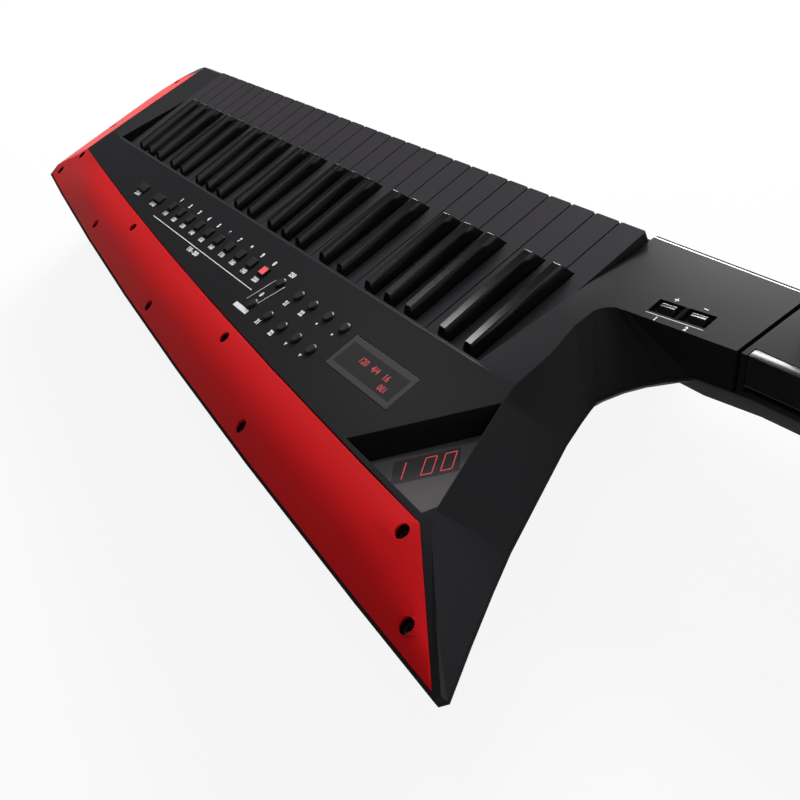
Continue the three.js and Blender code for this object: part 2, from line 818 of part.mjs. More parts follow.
function holdButton() {
  const cap = holdBox(0, -hold.stem, hold.rise);
  const flange = holdBox(hold.flange, -hold.stem, -wall - fitGap - hold.flange);
  return onCheek(cap.add(flange));
}

function octaveButton(x) {
  const [width, depth] = octaveKey.cap;
  const profile = [
    [-depth / 2, -octaveKey.stem],
    [depth / 2, -octaveKey.stem],
    [depth / 2, octaveKey.shoulder],
    [0, octaveKey.rise],
    [-depth / 2, octaveKey.rise],
  ];
  const cap = bar(profile, x - width / 2, x + width / 2);
  const [grow, thick] = octaveKey.flange;
  const flange = plateBox(octaveKey.cap, grow, -octaveKey.stem, thick - octaveKey.stem);
  return onOctaveSeat(cap.add(flange.translate([x, 0, 0])));
}

// Bottom case

// Where a rim point lands on the flat base, whose ends are a little fuller than straight.
function basePoint([x, y]) {
  const side = THREE.MathUtils.clamp(x, base.left, keyboardWidth + base.pastKeys);
  const bx = side + (x - side) * base.spreadShare;
  const share = (y - front.rimY) / (lipY(x) - front.rimY);
  return [bx, base.frontY + share * (lipY(bx) - base.rearInset - base.frontY)];
}

const bodyStart = [archCorner.rim[0], front.rimY];
const neckPlan = [
  [neckEnd.x, neckEnd.frontY],
  [neckBase.into, front.rimY],
  [neckBase.into, neckRoot.rim[1]],
  neckRoot.rim,
  neckBend.rim,
  [neckEnd.x, neckEnd.rearY],
];

function lowerBody() {
  const rim = [bodyStart, ...rimOf([...frontToHorn, ...hornEnd, ...hornToNeck])];
  const tub = loft([
    atZ(rim.map(basePoint), base.z),
    rim.map(([x, y]) => [x, y, rimZ(y)]),
    onSeam(rim, 0),
  ]);
  const neck = loft([
    atZ(inset(neckPlan, neckBase.inset), neckBase.z),
    atZ(inset(neckPlan, neckBase.bellyInset), neckBase.bellyZ),
    neckPlan.map(([x, y]) => [x, y, rimZ(y)]),
    onSeam(neckPlan, 0),
  ]);
  return tub.add(neck);
}

function lowerCavity() {
  const rim = [bodyStart, ...rimOf([...frontToHorn, ...hornToNeck])];
  const inner = inset(rim, wall);
  const tub = loft([
    atZ(inset(rim.map(basePoint), wall), base.z + wall),
    inner.map(([x, y]) => [x, y, rimZ(y)]),
    onSeam(inner, cutOver),
  ]);
  const neck = loft([
    atZ(inset(neckPlan, neckBase.inset + wall), neckBase.z + wall),
    atZ(inset(neckPlan, neckBase.bellyInset + wall), neckBase.bellyZ),
    onSeam(inset(neckPlan, wall), cutOver),
  ]);
  return tub.add(neck);
}

const footBox = (y, grow, z1) => {
  const right = keyboardWidth - foot.beforeEnd;
  return box(foot.left - grow, right + grow, y - grow, y + foot.width + grow, foot.z, z1);
};

const boreTool = (x) =>
  cylinder(
    jack.bore,
    jackPocket.y - jack.boreDepth,
    jackPocket.y + cutOver,
    "y",
    [keyboardWidth + x, (jack.bottom + jack.top) / 2],
    jack.boreSides,
  );

const powerBox = (grow, y0, y1) => {
  const middle = (jack.bottom + jack.top) / 2;
  const tall = power.height / 2 + grow;
  const wide = power.width / 2 + grow;
  const x = keyboardWidth + power.x;
  return box(x - wide, x + wide, y0, y1, middle - tall, middle + tall);
};

const rimTail = pastKeys(trebleSide.rim[trebleSide.rim.length - 1]);
const tailStrapFace = rimTail[0] + tailStrap.standoff;

function strapBosses() {
  const [bossX, bossY] = [hornStrap.x, hornStrap.y];
  return [
    cylinder(hornStrap.boss, hornStrapFace(), rimZ(bossY), "z", [bossX, bossY], strap.sides),
    cylinder(
      tailStrap.boss,
      keyboardWidth + base.pastKeys,
      tailStrapFace,
      "x",
      [tailStrap.y, tailStrap.z],
      strap.sides,
    ),
  ];
}

// The boss under the horn ends a little below the sloping skin.
function hornStrapFace() {
  return rimZ(hornStrap.y) + (base.z - rimZ(hornStrap.y)) * hornStrap.dropShare;
}

function bottomCase() {
  const outer = join([lowerBody(), ...strapBosses()]);
  const deckSeat = frameDeck.z - fitGap;
  const kept = [
    box(bay.left - rib, bay.right + rib, bay.frontY - rib, bay.rearY + rib, base.z, bay.roof + rib),
    pocketBox(wall, base.z),
    ...caseRib.ys.map((y) =>
      box(caseRib.left, keyboardWidth - caseRib.beforeEnd, y, y + wall, base.z, deckSeat),
    ),
    ...boardPosts(),
    ...strapBosses(),
    ...foot.ys.map((y) => footBox(y, rib, base.z + foot.seat + rib)),
  ];
  return cut(outer, [
    cut(lowerCavity(), kept),
    box(bay.left, bay.right, bay.frontY, bay.rearY, base.z - cutOver, bay.roof),
    pocketBox(0, base.z - cutOver),
    jackBox(fitGap, jackPocket.y + cutOver),
    powerBox(capGap, jackPocket.y - wall - cutOver, jackPocket.y + cutOver),
    ...foot.ys.map((y) => footBox(y, fitGap, base.z + foot.seat)),
  ]);
}

function pocketBox(grow, z0) {
  const left = keyboardWidth + jackPocket.left;
  const right = keyboardWidth + jackPocket.right;
  return box(left - grow, right + grow, jackPocket.y - grow, lipY(left), z0, jackPocket.roof + grow);
}

function jackBox(grow, y1) {
  const left = keyboardWidth + jack.left;
  const right = keyboardWidth + jack.right;
  return box(left - grow, right + grow, jack.innerY - grow, y1, jack.bottom - grow, jack.top + grow);
}

function boardPosts() {
  const xs = [mainBoard.left + mainBoard.inset, mainBoard.right - mainBoard.inset];
  const ys = [mainBoard.frontY + mainBoard.inset, mainBoard.rearY - mainBoard.inset];
  return xs.flatMap((x) =>
    ys.map((y) => cylinder(mainBoard.post, base.z, mainBoard.z - fitGap, "z", [x, y], rod.sides)),
  );
}

function jackBlock() {
  const middle = (jack.bottom + jack.top) / 2;
  const [portW, portH] = jack.port;
  const portX = keyboardWidth + jack.portX;
  const port = box(
    portX - portW / 2,
    portX + portW / 2,
    jackPocket.y - jack.boreDepth,
    jackPocket.y + cutOver,
    middle - portH / 2,
    middle + portH / 2,
  );
  return cut(jackBox(0, jackPocket.y), [...jack.bores.map(boreTool), port]);
}

function powerButton() {
  const inner = jackPocket.y - wall;
  const cap = powerBox(0, inner - power.length, jackPocket.y + power.proud);
  const flange = powerBox(power.flange, inner - power.length, inner - fitGap);
  return cap.add(flange);
}

function batteryPack() {
  const middleX = (bay.left + bay.right) / 2;
  const z = base.z + cover.thickness + fitGap + cell.diameter / 2;
  const firstY = (bay.frontY + bay.rearY - cellStep * (cell.rows - 1)) / 2;
  const reach = cell.length + cell.spine / 2;
  const cells = Array.from({ length: cell.rows }, (_, i) =>
    cylinder(cell.diameter / 2, middleX - reach, middleX + reach, "x", [firstY + i * cellStep, z], cell.sides),
  );
  const half = cell.spine / 2;
  const spine = box(
    middleX - half,
    middleX + half,
    firstY,
    firstY + cellStep * (cell.rows - 1),
    z - cell.diameter / 2,
    bay.roof - fitGap,
  );
  return join([...cells, spine]);
}

function batteryCover() {
  const gap = cover.gap;
  return box(
    bay.left + gap,
    bay.right - gap,
    bay.frontY + gap,
    bay.rearY - gap,
    base.z,
    base.z + cover.thickness,
  );
}

function strapButton() {
  const profile = [
    [0, 0],
    [strap.flange, 0],
    [strap.flange, strap.foot],
    [strap.neck, strap.base],
    [strap.neck, strap.length - strap.cap],
    [strap.head, strap.length - strap.cap + strap.brow],
    [strap.head, strap.length - strap.brow],
    [strap.neck, strap.length],
    [0, strap.length],
  ];
  const points = profile.map(([r, z]) => new THREE.Vector2(r, z));
  return solid(new THREE.LatheGeometry(points, strap.sides));
}

// Keys

const blackHalf = black.width / 2 + blackClearance;
const inOctave = (i) => i % 7;

// The plan of a white key past its head: what the black keys beside it leave.
function whiteSpan(i, last) {
  const step = inOctave(i);
  const left = step * pitch;
  const right = left + pitch;
  const cuts = last ? [] : black.centres.filter((x) => x > left - blackHalf && x < right + blackHalf);
  const lefts = cuts.filter((x) => x < left + pitch / 2).map((x) => x + blackHalf);
  const rights = cuts.filter((x) => x >= left + pitch / 2).map((x) => x - blackHalf);
  return [
    Math.max(left + keyGap / 2, ...lefts) - left,
    Math.min(right - keyGap / 2, ...rights) - left,
  ];
}

const tailCentre = (i) => tailShares[inOctave(i)] * octaveWidth - inOctave(i) * pitch;

const tailSlot = (centre) => {
  const half = rod.radius + rod.clearance;
  const wide = key.tailWidth / 2 + cutOver;
  return box(
    centre - wide,
    centre + wide,
    rod.y - half,
    rod.y + half,
    key.sideBottom - cutOver,
    rod.z + half,
  );
};

function tail(centre, top) {
  const half = key.tailWidth / 2;
  return box(centre - half, centre + half, key.bodyEnd - key.side, key.tailEnd, key.sideBottom, top);
}

function whiteKey(i, last) {
  const [left, right] = whiteSpan(i, last);
  const near = keyGap / 2;
  const far = pitch - keyGap / 2;
  const plan = [
    [near, key.corner],
    [near + key.corner, 0],
    [far - key.corner, 0],
    [far, key.corner],
    [far, headLength],
    [right, headLength],
    [right, key.bodyEnd],
    [left, key.bodyEnd],
    [left, headLength],
    [near, headLength],
  ];
  const plate = prism(plan, key.sideBottom, key.top);
  const skirt = box(near + key.corner, far - key.corner, 0, key.side, key.skirtBottom, key.top);
  const under = key.top - key.plate;
  const low = key.sideBottom - cutOver;
  const head = box(near + key.side, far - key.side, key.side, headLength - key.side, low, under);
  const neck = box(
    left + key.side,
    right - key.side,
    headLength - key.side - cutOver,
    key.bodyEnd - key.side,
    low,
    under,
  );
  const centre = tailCentre(i);
  return cut(join([plate, skirt]), [head, neck]).add(tail(centre, key.top)).subtract(tailSlot(centre));
}

function blackKey() {
  const wide = black.width / 2;
  const { frontY, rearY, rake, rearRake } = black;
  const ring = (half, y0, y1, z) => [
    [-half, y0, z],
    [half, y0, z],
    [half, y1, z],
    [-half, y1, z],
  ];
  const body = loft([
    ring(wide, frontY, rearY, black.bottom),
    ring(wide, frontY, rearY, black.shoulder),
    [
      [-black.topFront / 2, frontY + rake, black.frontTop],
      [black.topFront / 2, frontY + rake, black.frontTop],
      [black.topRear / 2, rearY - rearRake, black.rearTop],
      [-black.topRear / 2, rearY - rearRake, black.rearTop],
    ],
  ]);
  const hollow = box(
    -wide + black.hollow,
    wide - black.hollow,
    frontY + black.hollow * 2,
    rearY - black.hollow,
    black.bottom - cutOver,
    black.shoulder - black.hollow,
  );
  const stem = box(
    -key.tailWidth / 2,
    key.tailWidth / 2,
    rearY - black.hollow,
    key.tailEnd,
    key.sideBottom,
    key.top,
  );
  return body.subtract(hollow).add(stem).subtract(tailSlot(0));
}

const blackXs = Array.from({ length: octaves }, (_, o) =>
  black.centres.map((x) => o * octaveWidth + x),
).flat();
const whiteIndices = Array.from({ length: whiteCount }, (_, i) => i);

// A rail behind the rod joins the keys of a comb by fingers from their tails.
function comb(keys, xs, z0) {
  const z1 = z0 + combRail.thickness;
  const half = key.tailWidth / 2 - keyGap;
  const rail = box(xs[0] - half, xs[xs.length - 1] + half, combRail.frontY, combRail.rearY, z0, z1);
  const fingers = xs.map((x) =>
    box(x - half, x + half, key.tailEnd - keyGap, combRail.frontY + keyGap, z0, z1),
  );
  return join([...keys, ...fingers, rail]);
}

// Keybed

const tailXs = [...whiteIndices.map((i) => i * pitch + tailCentre(i)), ...blackXs].sort((a, b) => a - b);
const earXs = [
  ...Array.from({ length: octaves + 1 }, (_, o) => o * octaveWidth),
  keyboardWidth - ear.thickness / 2,
];
const deckTop = frameDeck.z + frameDeck.thickness;
const deckRight = keyboardWidth + frameDeck.pastKeys;

function keyFrame() {
  const deck = box(frameDeck.left, deckRight, frameDeck.frontY, frameDeck.rearY, frameDeck.z, deckTop);
  const rail = box(
    frameRail.left,
    keyboardWidth - frameRail.beforeEnd,
    frameRail.frontY,
    frameRail.rearY,
    deckTop,
    frameRail.top,
  );
  const half = ear.thickness / 2;
  const ears = earXs.map((x) => box(x - half, x + half, ear.frontY, ear.rearY, deckTop, ear.top));
  const bore = cylinder(
    rod.radius + rod.clearance,
    frameDeck.left,
    deckRight + cutOver,
    "x",
    [rod.y, rod.z],
    rod.sides,
  );
  return join([deck, rail, ...ears]).subtract(bore);
}

const pivotRod = () =>
  cylinder(rod.radius, frameDeck.left + fitGap, deckRight, "x", [rod.y, rod.z], rod.sides);

function contactBoard() {
  const z = deckTop + fitGap;
  const [wide, deep, tall] = contact.dome;
  const middle = (contact.frontY + contact.rearY) / 2;
  const left = contact.margin / 2;
  const right = keyboardWidth - contact.margin / 2;
  const board = box(left, right, contact.frontY, contact.rearY, z, z + contact.thickness);
  const top = z + contact.thickness;
  const domes = tailXs.map((x) =>
    box(x - wide / 2, x + wide / 2, middle - deep / 2, middle + deep / 2, top - fitGap, top + tall),
  );
  return join([board, ...domes]);
}

function keySprings() {
  const z = deckTop + fitGap;
  const t = spring.thickness;
  const tip = key.sideBottom - spring.clearance;
  const strip = box(
    tailXs[0] - spring.width,
    tailXs[tailXs.length - 1] + spring.width,
    spring.baseFront,
    spring.baseRear,
    z,
    z + t,
  );
  const profile = [
    [spring.baseRear - 2 * t, z],
    [spring.baseRear, z],
    [spring.tipY + t, tip - t],
    [spring.tipY - t, tip],
  ];
  const leaves = tailXs.map((x) => bar(profile, x - spring.width / 2, x + spring.width / 2));
  return join([strip, ...leaves]);
}

// Panel buttons

const capTop = panelTop + cap.rise;

function buttonRail(x0, x1, y) {
  return box(x0, x1, y - cap.railWidth / 2, y + cap.railWidth / 2, cap.railBottom, cap.railTop);
}

function squareCaps(xs, y, [width, depth]) {
  const caps = xs.map((x) =>
    box(x - width / 2, x + width / 2, y - depth / 2, y + depth / 2, cap.railBottom, capTop),
  );
  return join([buttonRail(Math.min(...xs), Math.max(...xs), y), ...caps]);
}

function roundCaps(xs, y) {
  const caps = xs.map((x) => {
    const profile = [
      [0, cap.railBottom],
      [round.radius, cap.railBottom],
      [round.radius, capTop - cap.flange],
      [round.radius - cap.flange, capTop],
      [0, capTop],
    ];
    const points = profile.map(([r, z]) => new THREE.Vector2(r, z));
    return solid(new THREE.LatheGeometry(points, round.sides).rotateX(Math.PI / 2)).translate([x, y, 0]);
  });
  return join([buttonRail(Math.min(...xs), Math.max(...xs), y), ...caps]);
}

function panelBoardSolid() {
  const { left, right, frontY, margin, z, thickness } = panelBoard;
  const along = (bladeFar[1] - bladeNear[1]) / (bladeFar[0] - bladeNear[0]);
  const rear = (x) => bladeNear[1] + (x - bladeNear[0]) * along - margin;
  const plan = [
    [left, frontY],
    [right, frontY],
    [right, rear(right)],
    [left, rear(left)],
  ];
  const posts = [left + margin, (left + right) / 2, right - margin].map((x) =>
    cylinder(rib, z, panelTop - wall - fitGap, "z", [x, rear(x) - 2 * rib], rod.sides),
  );
  return join([prism(plan, z, z + thickness), ...posts]);
}

function displayWindow() {
  return box(
    display.left,
    display.right,
    display.frontY,
    display.rearY,
    panelTop - display.window,
    panelTop,
  );
}

function displayModule() {
  const { left, right, frontY, rearY, frame } = display;
  const edge = frame + fitGap;
  const top = panelTop - display.window - fitGap;
  return box(left + edge, right - edge, frontY + edge, rearY - edge, top - display.module, top);
}

function readoutWindow() {
  const { bottom } = readoutPocket();
  return prism(inset(bottom, fitGap), recessFloor - readout.window, recessFloor);
}

function readoutModule() {
  const top = recessFloor - readout.window - fitGap;
  return readoutBlock(0, top - readout.digits[2], top);
}

// Scene graph

const colours = {
  case: [0x2c2c2c, 0.55, 0],
  blade: [0xb8181e, 0.35, 0.2],
  white: [0x3d3b3c, 0.5, 0],
  black: [0x161616, 0.35, 0],
  steel: [0xb4b4b0, 0.35, 1],
  spring: [0xa9a9a4, 0.4, 1],
  frame: [0x3a3b3d, 0.6, 0],
  board: [0x1f4a2c, 0.6, 0],
  cap: [0x242424, 0.4, 0],
  glass: [0x1b1718, 0.15, 0],
  rubber: [0x1a1a1a, 0.9, 0],
  cells: [0x8d7a3a, 0.45, 0.3],
  gloss: [0x141414, 0.15, 0],
};

const keytar = new THREE.Group();
const instrument = new THREE.Group();
keytar.add(instrument);

// Shows a solid as a named mesh.
function piece(name, body, colour, parent = instrument) {
  const mesh = body.getMesh();
  const step = mesh.numProp;
  const positions = new Float32Array(mesh.numVert * 3);
  for (let i = 0; i < mesh.numVert; i += 1) {
    positions.set(mesh.vertProperties.subarray(i * step, i * step + 3), i * 3);
  }
  const geometry = new THREE.BufferGeometry();
  geometry.setAttribute("position", new THREE.BufferAttribute(positions, 3));
  geometry.setIndex(new THREE.BufferAttribute(mesh.triVerts, 1));
  geometry.computeVertexNormals();
  const [color, roughness, metalness] = colours[colour];
  const shown = new THREE.Mesh(
    geometry,
    new THREE.MeshStandardMaterial({ color, roughness, metalness }),
  );
  shown.name = name;
  parent.add(shown);
  return shown;
}

piece("top_case", topCase(), "case");
piece("bottom_case", bottomCase(), "case");
piece("edge_blade", edgeBlade(), "blade");
piece("neck_cover", neckCover(), "case");
piece("modulation_bar", modulationBar(), "gloss");
piece("touch_strip", touchPlate(), "gloss");
["volume_knob", "assign_knob_1", "assign_knob_2"].forEach((name, i) =>
  piece(name, knobSolid(knob.xs[i]), "cap"),
);
piece("hold_button", holdButton(), "cap");
piece("octave_up_button", octaveButton(octaveXs[1]), "gloss");
piece("octave_down_button", octaveButton(octaveXs[0]), "gloss");

piece("key_frame", keyFrame(), "frame");
piece("key_pivot_rod", pivotRod(), "steel");
piece("key_springs", keySprings(), "spring");
piece("contact_board", contactBoard(), "board");

const whiteNames = ["c", "d", "e", "f", "g", "a", "b"];
const blackNames = ["c_sharp", "d_sharp", "f_sharp", "g_sharp", "a_sharp"];
for (let o = 0; o < individualOctaves; o += 1) {
  whiteNames.forEach((note, i) => {
    const mesh = piece("white_key_" + note + (o + 1), whiteKey(i, false), "white");
    mesh.position.x = o * octaveWidth + i * pitch;
  });
  blackNames.forEach((note, i) => {
    const mesh = piece("black_key_" + note + (o + 1), blackKey(), "black");
    mesh.position.x = o * octaveWidth + black.centres[i];
  });
}
const combStart = individualOctaves * octaveWidth;
const combWhites = whiteIndices
  .slice(individualOctaves * 7)
  .map((i) => whiteKey(i, i === whiteCount - 1).translate([i * pitch, 0, 0]));
const blackCombXs = blackXs.slice(individualOctaves * black.centres.length);
const combBlacks = blackCombXs.map((x) => blackKey().translate([x, 0, 0]));
const whiteCombXs = whiteIndices.slice(individualOctaves * 7).map((i) => i * pitch + tailCentre(i));
piece("white_key_comb", comb(combWhites, whiteCombXs, key.top - combRail.thickness), "white");
piece("black_key_comb", comb(combBlacks, blackCombXs, key.sideBottom), "black");

piece("tone_button_strip", squareCaps(toneXs(), tone.y, tone.size), "cap");
piece("mode_button_strip", squareCaps(mode.xs, mode.y, mode.size), "cap");
piece("upper_button_strip", roundCaps(round.upper, round.upperY), "cap");
piece("lower_button_strip", roundCaps(round.lower, round.lowerY), "cap");
piece("panel_board", panelBoardSolid(), "board");
piece("display_window", displayWindow(), "glass");
piece("display_module", displayModule(), "frame");
piece("readout_window", readoutWindow(), "glass");
piece("readout_module", readoutModule(), "frame");

piece(
  "main_board",
  box(
    mainBoard.left,
    mainBoard.right,
    mainBoard.frontY,
    mainBoard.rearY,
    mainBoard.z,
    mainBoard.z + mainBoard.thickness,
  ),
  "board",
);
piece("battery_pack", batteryPack(), "cells");
piece("battery_cover", batteryCover(), "case");
piece("jack_block", jackBlock(), "frame");
piece("power_button", powerButton(), "cap");
foot.ys.forEach((y, i) => {
  const name = ["foot_rail_front", "foot_rail_rear"][i];
  piece(name, footBox(y, 0, base.z + foot.seat - fitGap), "rubber");
});

const hornButton = piece("strap_button_horn", strapButton(), "steel");
hornButton.rotation.x = -Math.PI / 2;
hornButton.position.set(hornStrap.x, hornStrap.y, hornStrapFace() - fitGap);
const tailButton = piece("strap_button_tail", strapButton(), "steel");
tailButton.rotation.z = -Math.PI / 2;
tailButton.position.set(tailStrapFace + fitGap, tailStrap.y, tailStrap.z);

// The origin is the middle of the bounding box, on the surface that the feet stand on.
const plan = rimOf(wholeOutline);
const xs = plan.map(([x]) => x);
const ys = plan.map(([, y]) => y);
instrument.position.set(
  -(Math.min(...xs) + Math.max(...xs)) / 2,
  -(Math.min(...ys) + Math.max(...ys)) / 2,
  -foot.z,
);

export default keytar;
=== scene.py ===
import math

import bmesh
import bpy
from mathutils import Matrix, Vector, geometry
from mathutils.bvhtree import BVHTree


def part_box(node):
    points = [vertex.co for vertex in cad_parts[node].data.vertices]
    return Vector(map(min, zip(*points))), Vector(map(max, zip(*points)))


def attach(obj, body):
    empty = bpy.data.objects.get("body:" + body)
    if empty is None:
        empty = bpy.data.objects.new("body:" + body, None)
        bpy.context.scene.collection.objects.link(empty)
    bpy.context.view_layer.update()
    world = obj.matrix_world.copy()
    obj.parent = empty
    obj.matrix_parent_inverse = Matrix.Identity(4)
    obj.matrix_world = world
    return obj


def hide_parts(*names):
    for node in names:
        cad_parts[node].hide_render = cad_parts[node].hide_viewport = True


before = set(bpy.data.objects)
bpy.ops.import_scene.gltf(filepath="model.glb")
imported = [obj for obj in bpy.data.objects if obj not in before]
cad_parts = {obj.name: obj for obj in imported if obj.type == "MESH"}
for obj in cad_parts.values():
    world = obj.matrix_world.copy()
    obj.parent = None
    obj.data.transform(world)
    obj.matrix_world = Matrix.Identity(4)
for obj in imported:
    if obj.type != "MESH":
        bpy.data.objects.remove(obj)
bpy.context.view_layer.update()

# Camera
# The instrument lies on its back and is seen from over the horn, at the bass end, with the neck to the
# right. Places are given in the keyboard's own millimetres: x from the bass end of the keys, y from the
# fronts of the white keys and z from their tops.
key_gap = 1.0
first_low, first_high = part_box("white_key_c1")
keyboard = Vector((first_low.x - key_gap / 2000, first_low.y, first_high.z))


def at(x, y, z=0.0):
    """A place given in the keyboard's millimetres."""
    return keyboard + Vector((x, y, z)) / 1000


lens_place = at(-435.92, 284.29, 376.19)
picture_right = Vector((-0.51084, -0.74749, -0.42462))
picture_down = Vector((-0.38760, 0.64114, -0.66235))
looks_along = Vector((0.76734, -0.17378, -0.61724))
camera = bpy.data.objects.new("camera", bpy.data.cameras.new("camera"))
camera.data.lens = 45.82
camera_turn = Matrix((picture_right, -picture_down, -looks_along)).transposed()
camera.matrix_world = Matrix.Translation(lens_place) @ camera_turn.to_4x4()
bpy.context.scene.collection.objects.link(camera)
bpy.context.scene.camera = camera
bpy.context.scene.view_settings.view_transform = "Standard"


# Studio
# A white floor in a dim room. A long low softbox on the player's side lights the keys and shades the
# blade towards its far edge. Small ones show in the front edge, the octave buttons and the black keys.
def linear(colour):
    """An sRGB hex colour as linear red, green, blue and alpha."""
    parts = [int(colour[i : i + 2], 16) / 255 for i in (1, 3, 5)]
    return tuple(p / 12.92 if p <= 0.04045 else ((p + 0.055) / 1.055) ** 2.4 for p in parts) + (1.0,)


def add_node(tree, kind, inputs=None, **settings):
    """Adds a shader node. Inputs are values, or the sockets that feed them, by name or number."""
    node = tree.nodes.new(kind)
    for name, value in settings.items():
        setattr(node, name, value)
    for name, value in (inputs or {}).items():
        if isinstance(value, bpy.types.NodeSocket):
            tree.links.new(value, node.inputs[name])
        else:
            node.inputs[name].default_value = value
    return node


world = bpy.data.worlds.new("studio")
world.use_nodes = True
bpy.context.scene.world = world
sky = world.node_tree
sky.nodes.clear()
sky_place = add_node(sky, "ShaderNodeTexCoord")
sky_height = add_node(sky, "ShaderNodeSeparateXYZ", {0: sky_place.outputs["Generated"]})
horizon_top = 0.02
ceiling_edge = 0.2
ceiling_share = add_node(
    sky,
    "ShaderNodeMapRange",
    {0: sky_height.outputs["Z"], 1: horizon_top, 2: ceiling_edge},
    interpolation_type="SMOOTHSTEP",
)
sky_colour = add_node(
    sky,
    "ShaderNodeMix",
    {0: ceiling_share.outputs[0], 6: linear("#ffffff"), 7: linear("#303032")},
    data_type="RGBA",
)
sky_light = add_node(sky, "ShaderNodeBackground", {0: sky_colour.outputs[2], 1: 1.0})
add_node(sky, "ShaderNodeOutputWorld", {0: sky_light.outputs[0]})
lamp_distance = 3.0


def softbox(name, azimuth, elevation, width, height, radiance, over=(200, 100)):
    """A rectangular lamp that faces a place on the instrument from a direction given in degrees. Its power
    is four times its area times its radiance."""
    lamp = bpy.data.objects.new(name, bpy.data.lights.new(name, "AREA"))
    lamp.data.shape = "RECTANGLE"
    lamp.data.size, lamp.data.size_y = width, height
    lamp.data.energy = 4 * width * height * radiance
    across, up = math.radians(azimuth), math.radians(elevation)
    toward = Vector((math.cos(up) * math.cos(across), math.cos(up) * math.sin(across), math.sin(up)))
    lamp.location = at(*over) + toward * lamp_distance
    lamp.rotation_euler = toward.to_track_quat("Z", "Y").to_euler()
    lamp.visible_camera = False
    bpy.context.scene.collection.objects.link(lamp)


softbox("player_side_softbox", -65, 20, 2.0, 0.8, 30.0)
softbox("front_edge_softbox", -48, 5.5, 2.0, 0.22, 20.0, over=(-60, 0))
softbox("octave_softbox", -44.5, 33.5, 0.55, 0.11, 16.0, over=(-70, 42))
softbox("black_key_softbox", -12, 40, 0.5, 0.3, 10.0, over=(40, 110))
softbox("overhead_softbox", -90, 78, 0.45, 0.45, 8.0)
softbox("camera_side_softbox", -168, 26, 2.0, 1.5, 0.7)

floor_reach = 12
floor_mesh = bmesh.new()
bmesh.ops.create_grid(floor_mesh, x_segments=1, y_segments=1, size=floor_reach)
floor_data = bpy.data.meshes.new("floor")
floor_mesh.to_mesh(floor_data)
floor = bpy.data.objects.new("floor", floor_data)
bpy.context.scene.collection.objects.link(floor)
floor_paint = bpy.data.materials.new("white studio floor")
floor_paint.use_nodes = True
floor_shader = floor_paint.node_tree.nodes["Principled BSDF"]
floor_shader.inputs["Base Color"].default_value = linear("#f4f4f4")
floor_shader.inputs["Roughness"].default_value = 0.9
floor_shader.inputs["Specular IOR Level"].default_value = 0.1
floor_tree = floor_paint.node_tree
# The camera and every mirrored view see a white backdrop in the floor, and the rest keeps the shadow.
backdrop_share = 0.9
ray = add_node(floor_tree, "ShaderNodeLightPath").outputs
mirrored = add_node(
    floor_tree,
    "ShaderNodeMath",
    {0: ray["Is Glossy Ray"], 1: ray["Is Transmission Ray"]},
    operation="MAXIMUM",
)
seen = add_node(
    floor_tree, "ShaderNodeMath", {0: ray["Is Camera Ray"], 1: mirrored.outputs[0]}, operation="MAXIMUM"
)
share = add_node(floor_tree, "ShaderNodeMath", {0: seen.outputs[0], 1: backdrop_share}, operation="MULTIPLY")
glow = add_node(floor_tree, "ShaderNodeEmission", {0: linear("#ffffff"), 1: 1.0})
floor_mix = add_node(
    floor_tree, "ShaderNodeMixShader", {0: share.outputs[0], 1: floor_shader.outputs[0], 2: glow.outputs[0]}
)
floor_tree.links.new(floor_mix.outputs[0], floor_tree.nodes["Material Output"].inputs["Surface"])
floor_data.materials.append(floor_paint)


# Bottom case
# A deep moulded tub of black ABS with the neck's underside in one piece. Its edges are rounded as they
# leave the mould, its skin has a fine spark texture, and the top case closes it at a stepped seam.
sharp_fold = math.radians(24)
flat_fold = math.radians(0.4)
weld_distance = 2e-6


def joined_copy(node):
    """A working mesh of a frame piece, with its loose triangles joined into whole faces."""
    mesh = bmesh.new()
    mesh.from_mesh(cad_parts[node].data)
    bmesh.ops.remove_doubles(mesh, verts=mesh.verts, dist=weld_distance)
    bmesh.ops.dissolve_limit(mesh, angle_limit=flat_fold, verts=mesh.verts, edges=mesh.edges)
    return mesh


def sharp_edges(mesh):
    return [e for e in mesh.edges if e.is_manifold and e.calc_face_angle() > sharp_fold]


def round_off(mesh, edges, edge, segments=2):
    """Rounds edges by so many millimetres."""
    return bmesh.ops.bevel(
        mesh,
        geom=edges,
        offset=edge / 1000,
        segments=segments,
        profile=0.5,
        affect="EDGES",
        material=-1,
        clamp_overlap=True,
    )["faces"]


def rounded_copy(node, edge, segments=2):
    mesh = joined_copy(node)
    round_off(mesh, sharp_edges(mesh), edge, segments)
    return mesh


def placed(mesh, name, body, slot, *materials, stands_for=None, smooth=35):
    """Turns a working mesh into a piece of the instrument that moves with a body."""
    data = bpy.data.meshes.new(name)
    mesh.to_mesh(data)
    mesh.free()
    for material in materials:
        data.materials.append(material)
    data.shade_smooth()
    data.set_sharp_from_angle(angle=math.radians(smooth))
    piece = bpy.data.objects.new(name, data)
    bpy.context.scene.collection.objects.link(piece)
    weighted = piece.modifiers.new("even shading", "WEIGHTED_NORMAL")
    weighted.keep_sharp = True
    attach(piece, body)
    if stands_for:
        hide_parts(stands_for)


